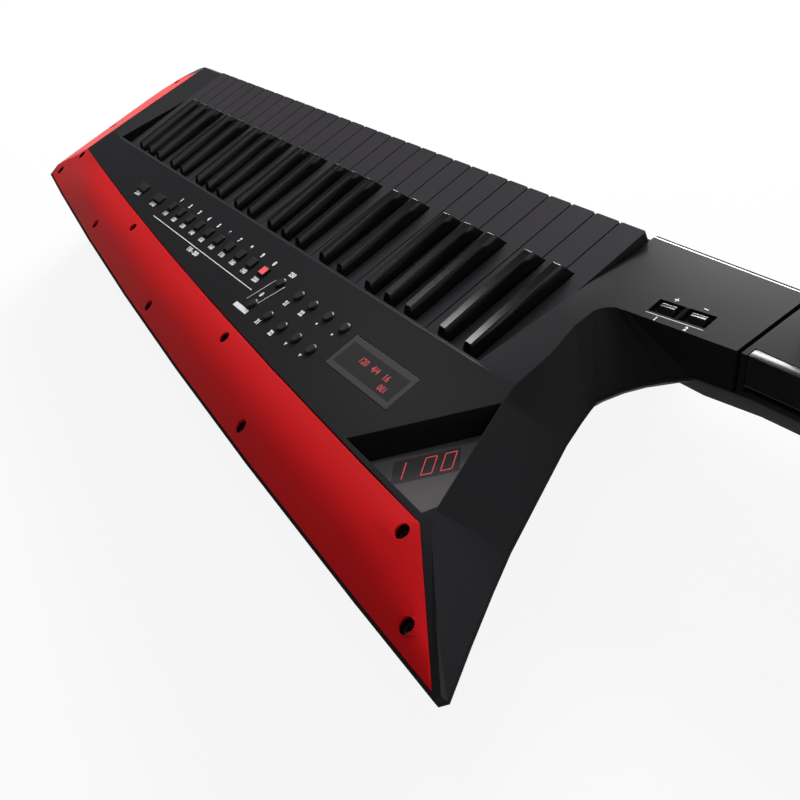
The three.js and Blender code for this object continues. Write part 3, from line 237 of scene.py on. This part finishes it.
def moulded_plastic(name, colour, roughness, grain, depth, shine=0.3, uneven=0.06):
    """Moulded ABS or similar: an even colour, a fine texture from the mould and slightly uneven gloss.
    The grain is the size of the texture in millimetres, and the depth how far it stands out."""
    material = bpy.data.materials.new(name)
    material.use_nodes = True
    tree = material.node_tree
    shader = tree.nodes["Principled BSDF"]
    shader.inputs["Specular IOR Level"].default_value = shine
    place = add_node(tree, "ShaderNodeTexCoord").outputs["Object"]
    spark = add_node(tree, "ShaderNodeTexNoise", {"Vector": place, "Scale": 1000 / grain, "Detail": 3.0})
    cloud = add_node(tree, "ShaderNodeTexNoise", {"Vector": place, "Scale": 14.0, "Detail": 2.0})
    tone = add_node(
        tree, "ShaderNodeMapRange", {0: cloud.outputs["Fac"], 3: 1 - uneven, 4: 1 + uneven}
    ).outputs[0]
    shade = add_node(
        tree,
        "ShaderNodeMix",
        {0: 1.0, 6: linear(colour), 7: tone},
        data_type="RGBA",
        blend_type="MULTIPLY",
    )
    tree.links.new(shade.outputs[2], shader.inputs["Base Color"])
    gloss = add_node(
        tree,
        "ShaderNodeMapRange",
        {0: spark.outputs["Fac"], 3: roughness - uneven, 4: roughness + uneven},
    )
    tree.links.new(gloss.outputs[0], shader.inputs["Roughness"])
    bump = add_node(
        tree,
        "ShaderNodeBump",
        {"Height": spark.outputs["Fac"], "Strength": 0.35, "Distance": depth / 1000},
    )
    tree.links.new(bump.outputs[0], shader.inputs["Normal"])
    return material


# Spark-textured ABS scatters most light, so it reads as an even, slightly soft black. The tub is duller.
case_plastic = moulded_plastic(
    "spark-textured black ABS", "#252426", 0.31, 0.5, 0.02, shine=0.026, uneven=0.04
)
tub_plastic = moulded_plastic("matt black ABS of the tub", "#1b1a1c", 0.6, 0.5, 0.02, shine=0.04)
tub = rounded_copy("bottom_case", 0.4)
placed(tub, "bottom_case_shell", "body", "case", tub_plastic, stands_for="bottom_case")


# Top case
# The upper moulding: a level panel, cheeks that slope to the front, the horn and its flank, and the
# sunk pocket of the digits. Black ABS with the same spark texture, screwed to the tub from below.
lid = joined_copy("top_case")
cut_tolerance = 1e-6
front_y, front_z, front_rise, front_reach = -3.7, -7.0, 0.7, 0.3
lower_y, lower_z, lower_rise, lower_reach = -5.3, -8.7, 0.75, 0.4
bevel_front = -6.0
bevel_slopes = (0.25, 0.7)
polished_to = -3.9
cheek_slope = 0.13
upward = 0.6


def cut(mesh, place, facing):
    """Cuts the faces of a working mesh along a plane, and keeps both sides."""
    whole = mesh.verts[:] + mesh.edges[:] + mesh.faces[:]
    bmesh.ops.bisect_plane(mesh, geom=whole, dist=cut_tolerance, plane_co=place, plane_no=facing)


def shape_front_edge(mesh):
    """Turns the front edge into a polished bevel of one slope, with a matt lip along its outer side."""
    for vert in mesh.verts:
        x, y, z = (vert.co - keyboard) * 1000
        if abs(y - front_y) < front_reach and abs(z - front_z) < front_reach:
            vert.co += Vector((0, 1, cheek_slope)) * front_rise / 1000
        elif abs(y - lower_y) < lower_reach and abs(z - lower_z) < lower_reach:
            vert.co.z += lower_rise / 1000
    cut(mesh, at(0, polished_to), Vector((0, 1, 0)))
    mesh.normal_update()
    for face in mesh.faces:
        x, y, z = (face.calc_center_median() - keyboard) * 1000
        tilted = bevel_slopes[0] < -face.normal.y < bevel_slopes[1] and face.normal.z > upward
        if tilted and bevel_front < y < 0 and x < 0:
            face.material_index = 1 if y > polished_to else 2


# The bevel is polished in the mould and mirrors a lamp as a thin white line. The lip beside it stays dull,
# so it reads as a black line. The wall below the seam is painted near-black as the shade in the seam.
polished_edge = moulded_plastic("polished edge of the black ABS", "#1e1d1f", 0.12, 0.5, 0.001, shine=0.5)
matt_lip = moulded_plastic("matt lip of the black ABS", "#1e1d1f", 0.8, 0.5, 0.01, shine=0.0)
painted_seam_shade = moulded_plastic("shadow in the seam", "#060606", 0.8, 0.3, 0.01, shine=0.0)
shape_front_edge(lid)
seam_top = -25.0
cut(lid, at(0, 0, seam_top), Vector((0, 0, 1)))
# Painted shade: the lid's wall below the seam line takes the near-black seam finish.
for face in lid.faces:
    if (face.calc_center_median() - keyboard).z < seam_top / 1000:
        face.material_index = 3
blade_start = at(-68, 227)
along_blade = (at(716, 168.2) - blade_start).normalized()
groove_level = 9.0
same_way = 0.9995
blade_groove = []
for edge in sharp_edges(lid):
    start, end = edge.verts
    high = min((start.co - keyboard).z, (end.co - keyboard).z) > groove_level / 1000
    if high and abs((end.co - start.co).normalized().dot(along_blade)) > same_way:
        blade_groove.append(edge)
round_off(lid, blade_groove, 1.2, segments=1)
slot_rear = 135.0
slot_level = 10.5
slot_reach = 0.6


def on_slot_rear(vert):
    x, y, z = (vert.co - keyboard) * 1000
    return abs(y - slot_rear) < slot_reach and z > slot_level


slot_edges = [edge for edge in lid.edges if all(on_slot_rear(vert) for vert in edge.verts)]
round_off(lid, slot_edges, 1.5, segments=1)
round_off(lid, sharp_edges(lid), 0.5)
lid_finishes = (case_plastic, polished_edge, matt_lip, painted_seam_shade)
placed(lid, "top_case_shell", "body", "case", *lid_finishes, stands_for="top_case")

# Neck cover
# The lid of the neck, a separate black ABS moulding. It is clipped and screwed to the tub, and butts
# against the body with a narrow groove. Its front edge goes on in the same polished bevel.
neck_lid = joined_copy("neck_cover")
shape_front_edge(neck_lid)
round_off(neck_lid, sharp_edges(neck_lid), 0.5)
neck_finishes = (case_plastic, polished_edge, matt_lip)
placed(neck_lid, "neck_cover_shell", "body", "case", *neck_finishes, stands_for="neck_cover")


# Blade
# A long plate along the far edge and round the treble end, moulded in ABS, slightly crowned, and
# sprayed with red metallic lacquer. Countersunk screws in deep holes hold it to the top case.
blade_screws = [
    (-63, 236),
    (204, 223),
    (464, 204),
    (716, 177.5),
    (-106, 266.5),
    (114, 257.5),
    (334, 244),
    (542, 223.5),
    (740, 204.5),
    (762, 124),
    (776, 30),
]
blade_hole = 4.7
around_hole = 1.6 * blade_hole
blade_crown = 3.0
blade_half = 32.0
blade_strip = 7.0
blade_slices = 26
corner_x = 640.0
corner_fade = 90.0


def near_a_screw(place):
    gaps = [(place - at(x, y, place.z)).to_2d().length for x, y in blade_screws]
    return min(gaps) < around_hole / 1000


blade = joined_copy("edge_blade")
rim_lines = []
for edge in blade.edges:
    if edge.calc_face_angle() < sharp_fold:
        continue
    if max(face.normal.z for face in edge.link_faces) < upward:
        continue
    ends = [vert.co.copy() for vert in edge.verts]
    if not any(near_a_screw(end) for end in ends):
        rim_lines.append(ends)


def crown_height(place):
    """How far the lacquered face bulges over a place: nothing at its rim, most in its middle."""
    flat = Vector((place.x, place.y, 0))
    nearest = blade_half
    for start, end in rim_lines:
        a, b = Vector((start.x, start.y, 0)), Vector((end.x, end.y, 0))
        foot, share = geometry.intersect_point_line(flat, a, b)
        foot = a.lerp(b, min(max(share, 0), 1))
        nearest = min(nearest, (flat - foot).length * 1000)
    past_corner = ((place - keyboard).x * 1000 - corner_x) / corner_fade
    fade = 1 - min(max(past_corner, 0), 1)
    return fade * blade_crown * (1 - (1 - nearest / blade_half) ** 2) / 1000


glossy_rims = []
nearly_same_way = 0.99
for edge in sharp_edges(blade):
    facing = [face.normal for face in edge.link_faces]
    level = max(normal.z for normal in facing) > upward
    player_side = min(normal.y for normal in facing) < -upward
    start, end = (vert.co for vert in edge.verts)
    along_rim = abs((end - start).normalized().dot(along_blade)) > nearly_same_way
    if level and ((player_side and along_rim) or (near_a_screw(start) and near_a_screw(end))):
        glossy_rims.append(edge)
# Painted shade: the walls round the screws take the dark bore finish.
for face in blade.faces:
    if abs(face.normal.z) < 0.5 and near_a_screw(face.calc_center_median()):
        face.material_index = 2
for face in round_off(blade, glossy_rims, 1.1, segments=3):
    face.material_index = 1
round_off(blade, sharp_edges(blade), 0.9)
blade_low, blade_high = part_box("edge_blade")
across_blade = Vector((-along_blade.y, along_blade.x, 0))
for step in range(-3, 12):
    cut(blade, blade_start + across_blade * step * blade_strip / 1000, across_blade)
for step in range(1, blade_slices):
    slice_at = blade_low + Vector((blade_high.x - blade_low.x, 0, 0)) * step / blade_slices
    cut(blade, slice_at, Vector((1, 0, 0)))
for vert in blade.verts:
    if all(face.normal.z > upward for face in vert.link_faces):
        vert.co.z += crown_height(vert.co)


def flake_lacquer(name, coat, coat_roughness):
    """Lacquer over fine flake of a third of a millimetre: deep red, satin, brighter where it faces a light
    and dark where it turns."""
    material = bpy.data.materials.new(name)
    material.use_nodes = True
    tree = material.node_tree
    shader = tree.nodes["Principled BSDF"]
    shader.inputs["Metallic"].default_value = 0.05
    shader.inputs["Specular IOR Level"].default_value = 0.15
    shader.inputs["Coat Weight"].default_value = coat
    shader.inputs["Coat Roughness"].default_value = coat_roughness
    place = add_node(tree, "ShaderNodeTexCoord").outputs["Object"]
    flakes = add_node(tree, "ShaderNodeTexVoronoi", {"Vector": place, "Scale": 1000 / 0.35})
    tone = add_node(
        tree,
        "ShaderNodeMix",
        {0: flakes.outputs["Distance"], 6: linear("#f0191e"), 7: linear("#de151b")},
        data_type="RGBA",
    )
    tree.links.new(tone.outputs[2], shader.inputs["Base Color"])
    peel = add_node(tree, "ShaderNodeTexNoise", {"Vector": place, "Scale": 420.0})
    gloss = add_node(tree, "ShaderNodeMapRange", {0: peel.outputs["Fac"], 3: 0.38, 4: 0.46})
    tree.links.new(gloss.outputs[0], shader.inputs["Roughness"])
    bump = add_node(
        tree, "ShaderNodeBump", {"Height": peel.outputs["Fac"], "Strength": 0.2, "Distance": 0.00002}
    )
    tree.links.new(bump.outputs[0], shader.inputs["Normal"])
    return material


# The rims are rubbed to a full gloss. The walls of the screw holes are painted dark red as the shade inside
# the bores.
lacquer = flake_lacquer("red metallic lacquer", 0.08, 0.25)
rim_lacquer = flake_lacquer("polished rim of the lacquer", 1.0, 0.24)
painted_bore_shade = moulded_plastic("painted shade in the bores of the blade", "#2a0a0b", 0.6, 0.5, 0.01, shine=0.02)
blade_face = BVHTree.FromBMesh(blade)
blade_finishes = (lacquer, rim_lacquer, painted_bore_shade)
placed(blade, "edge_blade_plate", "body", "blade", *blade_finishes, stands_for="edge_blade", smooth=30)

# Blade screws
# Turned steel screws with a domed head and a cross recess, blackened by oxide. They are sunk in the
# blade's holes down to the bosses of the case.
screw_head = 3.9
screw_depth = 6.6
screw_cross = 2.4
screw_sides = 20
beside_hole = 6
above_blade = 60


def surface_height(x, y):
    """The height of the lacquered face over a place, in the keyboard's millimetres."""
    from_above = [at(x + shift, y, above_blade) for shift in (-beside_hole, beside_hole)]
    struck = [blade_face.ray_cast(start, Vector((0, 0, -1)))[0] for start in from_above]
    heights = [(place - keyboard).z * 1000 for place in struck if place]
    return sum(heights) / len(heights)


def cross_recess_screw(mesh, centre, radius, tall, turn):
    """Adds a domed screw head with a cross-shaped recess, its top facing up."""
    head = bmesh.ops.create_circle(mesh, cap_ends=True, segments=screw_sides, radius=radius)
    verts = head["verts"]
    face = next(f for f in verts[0].link_faces if len(f.verts) == screw_sides)
    grown = bmesh.ops.extrude_face_region(mesh, geom=[face])
    top = [v for v in grown["geom"] if isinstance(v, bmesh.types.BMVert)]
    top_face = [f for f in grown["geom"] if isinstance(f, bmesh.types.BMFace)]
    bmesh.ops.translate(mesh, verts=top, vec=(0, 0, tall))
    shrunk = bmesh.ops.inset_region(mesh, faces=top_face, thickness=radius * 0.2, depth=radius * 0.12)
    made = set(verts) | set(top) | {v for f in shrunk["faces"] for v in f.verts} | set(top_face[0].verts)
    for spin in (0, math.pi / 2):
        slot = bmesh.ops.create_cube(mesh, size=1.0)["verts"]
        bmesh.ops.scale(mesh, verts=slot, vec=(radius * 1.1, radius * 0.24, radius * 0.3))
        bmesh.ops.rotate(mesh, verts=slot, matrix=Matrix.Rotation(spin + turn, 3, "Z"))
        bmesh.ops.translate(mesh, verts=slot, vec=(0, 0, tall + radius * 0.02))
        for vert in slot:
            for face in vert.link_faces:
                # The faces of the cross recess are painted near-black as shade.
                face.material_index = 1
        made |= set(slot)
    bmesh.ops.translate(mesh, verts=list(made), vec=centre)


screws = bmesh.new()
for number, (x, y) in enumerate(blade_screws):
    foot = at(x, y, surface_height(x, y) - screw_depth)
    cross_recess_screw(screws, foot, screw_head / 1000, screw_cross / 1000, turn=number * 0.7)


def steel(name, colour, roughness, brush=0.25):
    """Turned or plated steel. Fine turning marks of about a quarter of a millimetre break up its gloss."""
    material = bpy.data.materials.new(name)
    material.use_nodes = True
    tree = material.node_tree
    shader = tree.nodes["Principled BSDF"]
    shader.inputs["Metallic"].default_value = 1.0
    place = add_node(tree, "ShaderNodeTexCoord").outputs["Object"]
    marks = add_node(tree, "ShaderNodeTexNoise", {"Vector": place, "Scale": 1000 / brush, "Detail": 2.0})
    shade = add_node(
        tree,
        "ShaderNodeMix",
        {0: marks.outputs["Fac"], 6: linear(colour), 7: linear("#8c8c88")},
        data_type="RGBA",
    )
    tree.links.new(shade.outputs[2], shader.inputs["Base Color"])
    gloss = add_node(
        tree, "ShaderNodeMapRange", {0: marks.outputs["Fac"], 3: roughness - 0.08, 4: roughness + 0.08}
    )
    tree.links.new(gloss.outputs[0], shader.inputs["Roughness"])
    return material


# Black oxide is a dark skin with some gloss. The cross recess is painted near-black as the shade inside it.
black_oxide = moulded_plastic("black-oxide steel", "#1b1b1c", 0.4, 0.3, 0.01, shine=0.5)
painted_recess_shade = moulded_plastic("shadow of a recess", "#060606", 0.8, 0.3, 0.01, shine=0.1)
placed(screws, "blade_screws", "body", "steel", black_oxide, painted_recess_shade)

# White keys
# Hollow mouldings of dark grey ABS, one under each finger, square at the rear and rounded in front.
# Their fine satin texture spreads a light into a soft grey, a little lighter than the case.
key_plastic = moulded_plastic("satin dark grey key plastic", "#383639", 0.48, 0.35, 0.01, shine=0.02)
white_nodes = sorted(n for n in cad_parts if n.startswith("white_key"))
key_corner = 1.3
front_wall = 1.5
for node in white_nodes:
    key = joined_copy(node)
    front = min(vert.co.y for vert in key.verts)
    corners = []
    for edge in sharp_edges(key):
        along = edge.verts[1].co - edge.verts[0].co
        near_front = all(vert.co.y < front + front_wall / 1000 for vert in edge.verts)
        if near_front and abs(along.z) > 3 * max(abs(along.x), abs(along.y)):
            corners.append(edge)
    round_off(key, corners, key_corner)
    round_off(key, sharp_edges(key), 1.0)
    placed(key, node + "_cap", node, "white_keys", key_plastic, stands_for=node)

# Black keys
# Narrow hollow mouldings of polished black ABS with sloped sides and a nearly flat top. The top falls a
# little to the rear, and its gloss mirrors a lamp as a soft streak at the front.
ebony_plastic = moulded_plastic(
    "glossy black key plastic", "#171717", 0.15, 0.6, 0.0002, shine=0.4, uneven=0.02
)
key_brow = 1.2
brow_reach = 6.0
brow_depth = 3.0
black_nodes = sorted(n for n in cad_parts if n.startswith("black_key"))
for node in black_nodes:
    key = joined_copy(node)
    front = min(vert.co.y for vert in key.verts)
    top = max(vert.co.z for vert in key.verts)
    brows = []
    for edge in sharp_edges(key):
        along = edge.verts[1].co - edge.verts[0].co
        in_front = all(vert.co.y < front + brow_reach / 1000 for vert in edge.verts)
        near_top = all(vert.co.z > top - brow_depth / 1000 for vert in edge.verts)
        if in_front and near_top and abs(along.x) > 3 * abs(along.y):
            brows.append(edge)
    round_off(key, brows, key_brow, segments=3)
    round_off(key, sharp_edges(key), 0.55, segments=3)
    placed(key, node + "_cap", node, "black_keys", ebony_plastic, stands_for=node)

# Keybed
# Under the keys lie a stamped deck with its ears, a ground steel pivot rod, a comb of leaf springs and
# the contact board with its rubber domes. They keep their frame shapes, each with its own finish.
# Filled nylon is dull and faintly grainy, ground steel bright, and solder resist a smooth dark green.
deck_plastic = moulded_plastic("glass-filled nylon", "#2f3032", 0.6, 0.8, 0.03)
rod_steel = steel("ground steel", "#b8b8b4", 0.3)
spring_steel = steel("rolled spring steel", "#a4a49f", 0.38, brush=0.6)
solder_green = moulded_plastic("green solder resist", "#1d4a2c", 0.35, 1.4, 0.02, shine=0.5)


def finished(node, material):
    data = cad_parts[node].data
    data.materials.clear()
    data.materials.append(material)


finished("key_frame", deck_plastic)
finished("key_pivot_rod", rod_steel)
finished("key_springs", spring_steel)
finished("contact_board", solder_green)
finished("panel_board", solder_green)
finished("main_board", solder_green)

# Panel buttons
# Caps of satin black plastic on moulded strips, each standing 1.6 mm proud in its hole. The last square
# cap is clear red and glows unevenly from the lamp behind it.
cap_plastic = moulded_plastic("satin black button plastic", "#222222", 0.4, 0.4, 0.01, shine=0.12)
tone_first = 240.3
tone_step = 22.4
tone_y = 165.7
lamp_red = bpy.data.materials.new("lit red button plastic")
lamp_red.use_nodes = True
lamp_tree = lamp_red.node_tree
lamp_shader = lamp_tree.nodes["Principled BSDF"]
lamp_shader.inputs["Base Color"].default_value = linear("#c8323a")
lamp_shader.inputs["Roughness"].default_value = 0.3
lamp_shader.inputs["Emission Strength"].default_value = 0.55
lamp_place = add_node(lamp_tree, "ShaderNodeTexCoord").outputs["Object"]
lamp_cloud = add_node(lamp_tree, "ShaderNodeTexNoise", {"Vector": lamp_place, "Scale": 260.0})
lamp_glow = add_node(
    lamp_tree,
    "ShaderNodeMix",
    {0: lamp_cloud.outputs["Fac"], 6: linear("#ff3b41"), 7: linear("#ff7a7a")},
    data_type="RGBA",
)
lamp_tree.links.new(lamp_glow.outputs[2], lamp_shader.inputs["Emission Color"])
for node in ("tone_button_strip", "mode_button_strip", "upper_button_strip", "lower_button_strip"):
    strip = rounded_copy(node, 0.45, segments=3)
    placed(strip, node + "_caps", node, "caps", cap_plastic, stands_for=node)
lamp_size = (7.6, 6.4)
cap_top = 12.6
lamp = bmesh.new()
lamp_verts = bmesh.ops.create_cube(lamp, size=1.0)["verts"]
bmesh.ops.scale(lamp, verts=lamp_verts, vec=(lamp_size[0] / 1000, lamp_size[1] / 1000, 0.0002))
bmesh.ops.translate(lamp, verts=lamp_verts, vec=at(tone_first, tone_y, cap_top))
placed(lamp, "tone_lamp", "tone_button_strip", "caps", lamp_red)

# Panel print
# Screen-printed epoxy ink, an opaque and slightly uneven white: numbers and small marks beside the
# buttons, the line that joins the tone buttons and the brackets between the groups. It reads from the
# far side.
ink = bpy.data.materials.new("white epoxy ink")
ink.use_nodes = True
ink_tree = ink.node_tree
ink_shader = ink_tree.nodes["Principled BSDF"]
ink_shader.inputs["Roughness"].default_value = 0.55
ink_place = add_node(ink_tree, "ShaderNodeTexCoord").outputs["Object"]
ink_cover = add_node(ink_tree, "ShaderNodeTexNoise", {"Vector": ink_place, "Scale": 900.0, "Detail": 2.0})
ink_tone = add_node(
    ink_tree,
    "ShaderNodeMix",
    {0: ink_cover.outputs["Fac"], 6: linear("#e0e0e0"), 7: linear("#f2f2f2")},
    data_type="RGBA",
)
ink_tree.links.new(ink_tone.outputs[2], ink_shader.inputs["Base Color"])
ink_height = 0.05
panel_height = 11.0


def stroke(mesh, start, end, width, height, thick=ink_height):
    """Adds a printed bar between two places given in the keyboard's millimetres."""
    a, b = at(*start, height), at(*end, height)
    bar = bmesh.ops.create_cube(mesh, size=1.0)["verts"]
    bmesh.ops.scale(mesh, verts=bar, vec=((b - a).length, width / 1000, thick / 1000))
    aim = Vector((1, 0, 0)).rotation_difference((b - a).normalized()).to_matrix()
    bmesh.ops.rotate(mesh, verts=bar, matrix=aim)
    bmesh.ops.translate(mesh, verts=bar, vec=(a + b) / 2 + Vector((0, 0, thick / 2000)))


def figure(mesh, text, place, tall, height, turn=math.pi, weight=0.03):
    """Adds printed figures, centred on a place in the keyboard's millimetres. A digit is 0.7 of the font's
    size tall."""
    curve = bpy.data.curves.new("figure", "FONT")
    curve.body = text
    curve.size = tall / 700
    curve.align_x = "CENTER"
    curve.align_y = "CENTER"
    curve.extrude = ink_height / 2000
    curve.offset = tall * weight / 1000
    holder = bpy.data.objects.new("figure", curve)
    flat = holder.to_mesh()
    flat.transform(Matrix.Translation(at(*place, height)) @ Matrix.Rotation(turn, 4, "Z"))
    mesh.from_mesh(flat)
    holder.to_mesh_clear()
    bpy.data.objects.remove(holder)
    bpy.data.curves.remove(curve)


number_y = 156.0
label_y = 175.0
tone_count = 10
print_mesh = bmesh.new()
for place in range(tone_count):
    x = tone_first + place * tone_step
    number = tone_count - place
    figure(print_mesh, str(number % tone_count), (x, number_y), 4.0, panel_height, weight=0.1)
    figure(print_mesh, str(100 + 10 * number), (x, label_y), 4.0, panel_height, weight=0.08)
for x, label in ((476.5, "2100"), (520.5, "2200")):
    figure(print_mesh, label, (x, label_y), 4.0, panel_height, weight=0.08)
for place, label in (
    ((184.5, 175.7), "21"),
    ((161.3, 174.9), "22"),
    ((189.9, 199.0), "31"),
    ((166.9, 199.3), "32"),
    ((209.9, 155.6), "230"),
    ((216.4, 181.3), "0"),
):
    figure(print_mesh, label, place, 3.8, panel_height, weight=0.08)
for place, corners, size in (
    ((138.6, 174.2), 12, 0.9),
    ((116.6, 174.0), 12, 0.9),
    ((144.1, 198.2), 3, 1.7),
    ((122.1, 198.2), 3, 1.7),
):
    mark = bmesh.ops.create_circle(print_mesh, cap_ends=True, segments=corners, radius=size / 1000)["verts"]
    bmesh.ops.translate(print_mesh, verts=mark, vec=at(*place, panel_height + ink_height))
stroke(print_mesh, (454.5, 183.4), (231.4, 183.0), 0.7, panel_height)
figure(print_mesh, "110 - 200", (345, 187.6), 4.0, panel_height, weight=0.08)
stroke(print_mesh, (225.8, 190.3), (219.4, 165.5), 0.5, panel_height)
stroke(print_mesh, (210.7, 190.1), (203.5, 166.2), 0.5, panel_height)
stroke(print_mesh, (209.4, 198.6), (232.0, 198.6), 4.0, panel_height)
placed(print_mesh, "panel_print", "body", "case", ink)

# Display
# A smoked acrylic window, flush with the panel, over a red dot display: nearly black and softly glossy,
# with a dark grey frame printed behind it. The figures shown are a plain count and a beat.
smoked = moulded_plastic("smoked acrylic", "#2e2c2d", 0.5, 2.0, 0.002, shine=0.08, uneven=0.02)
frame_grey = moulded_plastic("dark grey print behind acrylic", "#444343", 0.5, 0.6, 0.004, shine=0.08)
display_pane = rounded_copy("display_window", 0.25)
placed(display_pane, "display_window_pane", "body", "window", frame_grey, stands_for="display_window")
display_low, display_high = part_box("display_window")
glass = bmesh.new()
glass_thick = 0.00004
window_rim = 4.6
inner_low = display_low + Vector((window_rim, window_rim, 0)) / 1000
inner_high = display_high - Vector((window_rim, window_rim, 0)) / 1000
pane = bmesh.ops.create_cube(glass, size=1.0)["verts"]
bmesh.ops.scale(glass, verts=pane, vec=(inner_high.x - inner_low.x, inner_high.y - inner_low.y, glass_thick))
middle = (inner_low + inner_high) / 2
bmesh.ops.translate(glass, verts=pane, vec=(middle.x, middle.y, display_high.z + glass_thick))
placed(glass, "display_glass", "body", "window", smoked)


def lit_ink(name, colour, strength):
    """The red glow of a lamp or of display dots behind a window, uneven as the dots are."""
    material = bpy.data.materials.new(name)
    material.use_nodes = True
    tree = material.node_tree
    shader = tree.nodes["Principled BSDF"]
    shader.inputs["Base Color"].default_value = linear("#501014")
    shader.inputs["Emission Strength"].default_value = strength
    place = add_node(tree, "ShaderNodeTexCoord").outputs["Object"]
    dots = add_node(tree, "ShaderNodeTexVoronoi", {"Vector": place, "Scale": 1000 / 0.7})
    glow = add_node(
        tree,
        "ShaderNodeMix",
        {0: dots.outputs["Distance"], 6: linear(colour), 7: linear("#8c2a2e")},
        data_type="RGBA",
    )
    tree.links.new(glow.outputs[2], shader.inputs["Emission Color"])
    return material


dot_red = lit_ink("red display dots", "#f04a50", 0.7)
dots = bmesh.new()
figure(dots, "120   4/4   16", (57, 176), 4.6, panel_height + 0.05)
figure(dots, "001", (37, 183), 4.2, panel_height + 0.05)
placed(dots, "display_figures", "body", "window", dot_red)
finished("display_module", deck_plastic)

# Readout
# Three large figures under a dark grey acrylic window, glued to the floor of the sunk pocket beside the
# horn. The field round the figures is smoked darker, so that the glow stands out.
readout_floor = -1.0
readout_centre = (-26.0, 199.4)
readout_turn = math.radians(48.7)
floor_pane = rounded_copy("readout_window", 0.2)
pocket_grey = moulded_plastic("dark grey acrylic", "#605d5d", 0.4, 0.8, 0.004, shine=0.15)
placed(floor_pane, "readout_window_pane", "body", "window", pocket_grey, stands_for="readout_window")
finished("readout_module", deck_plastic)


def on_readout(u, v):
    """A place on the readout's field, u along it and v across it, in millimetres."""
    turned = Vector((u, v)) @ Matrix.Rotation(-readout_turn, 2)
    return readout_centre[0] + turned.x, readout_centre[1] + turned.y


field = bmesh.new()
field_thick = 0.06
stroke(field, on_readout(-20.7, 0), on_readout(20.7, 0), 17, readout_floor, thick=field_thick)
field_grey = moulded_plastic("smoked field behind acrylic", "#454243", 0.4, 0.8, 0.004, shine=0.1)
placed(field, "readout_field", "body", "window", field_grey)
segment_red = lit_ink("red display segments", "#ff5560", 0.8)
figures = bmesh.new()
figure_width = 6.8
figure_height = 12.0
figure_lean = 2.4
figure_level = readout_floor + field_thick
for u in (-2.0, -14.0):
    corners = [
        (u - figure_width / 2 - figure_lean / 2, -figure_height / 2),
        (u + figure_width / 2 - figure_lean / 2, -figure_height / 2),
        (u + figure_width / 2 + figure_lean / 2, figure_height / 2),
        (u - figure_width / 2 + figure_lean / 2, figure_height / 2),
    ]
    for start, end in zip(corners, corners[1:] + corners[:1]):
        stroke(figures, on_readout(*start), on_readout(*end), 0.7, figure_level)
stroke(figures, on_readout(12.5, -figure_height / 2), on_readout(14.5, figure_height / 2), 0.8, figure_level)
placed(figures, "readout_figures", "body", "window", segment_red)

# Octave buttons
# Two rocker caps in a recess of the bass cheek, of polished black ABS that mirrors a lamp as a bright
# bar. A plus, a minus, two numbers and a thin line are printed beside them.
gloss_plastic = moulded_plastic("gloss black ABS", "#262626", 0.08, 0.8, 0.0003, shine=0.5, uneven=0.02)
for node in ("octave_up_button", "octave_down_button"):
    rocker = rounded_copy(node, 0.6, segments=3)
    placed(rocker, node + "_cap", node, "gloss", gloss_plastic, stands_for=node)
recess_centre = (-69.6, 42.6)
recess_turn = math.radians(6.5)
web_height = 0.05


def by_the_octaves(u, v):
    """A place beside the octave buttons, u along their recess and v across it, in millimetres."""
    turned = Vector((u, v)) @ Matrix.Rotation(-recess_turn, 2)
    return recess_centre[0] + turned.x, recess_centre[1] + turned.y


def laid_on_cheek(mesh):
    """Lifts a flat print onto the slope of the cheek."""
    for vert in mesh.verts:
        y = (vert.co - keyboard).y * 1000
        vert.co.z += (panel_height + cheek_slope * (y - slot_rear)) / 1000
    return mesh


octave_print = bmesh.new()
stroke(octave_print, by_the_octaves(-19.5, 6.6), by_the_octaves(19.5, 6.6), 0.28, 0)
for u, number in ((-10.4, "2"), (10.4, "1")):
    figure(octave_print, number, by_the_octaves(u, 9.6), 3.0, 0, turn=math.pi + recess_turn, weight=0.04)
stroke(octave_print, (-60.1, 35.0), (-56.9, 35.0), 0.6, 0)
stroke(octave_print, (-58.5, 33.4), (-58.5, 36.6), 0.6, 0)
stroke(octave_print, (-80.1, 32.9), (-76.9, 32.9), 0.6, 0)
placed(laid_on_cheek(octave_print), "octave_print", "body", "case", ink)
web = bmesh.new()
stroke(web, by_the_octaves(0, -5.4), by_the_octaves(0, 5.4), 2.5, 0, thick=web_height)
placed(laid_on_cheek(web), "octave_recess_web", "body", "case", matt_lip)

# Neck controls
# A gloss touch strip glued in its seat, three ribbed knobs on their shafts, a hold button, and on the
# back edge of the neck the modulation bar, polished black ABS with grip ribs.
finished("touch_strip", gloss_plastic)
finished("hold_button", cap_plastic)
for node in ("volume_knob", "assign_knob_1", "assign_knob_2"):
    knob = rounded_copy(node, 0.3)
    placed(knob, node + "_cap", node, "caps", cap_plastic, stands_for=node)
grip = rounded_copy("modulation_bar", 0.5)
placed(grip, "modulation_bar_grip", "modulation_bar", "gloss", gloss_plastic, stands_for="modulation_bar")

# Fittings
# Rubber foot rails, turned steel strap buttons, the block of jacks, the power button, the hinged cover
# of the cells and the cells in their holder. Rubber is the dullest black, and the foil has a brassy gloss.
rubber = moulded_plastic("black rubber", "#161616", 0.85, 1.2, 0.05, shine=0.2)
finished("foot_rail_front", rubber)
finished("foot_rail_rear", rubber)
for node in ("strap_button_horn", "strap_button_tail"):
    stud = rounded_copy(node, 0.3)
    placed(stud, node + "_stud", "body", "steel", rod_steel, stands_for=node)
finished("jack_block", deck_plastic)
finished("power_button", cap_plastic)
finished("battery_cover", case_plastic)
cell_foil = steel("printed foil", "#8d7a3a", 0.4)
finished("battery_pack", cell_foil)
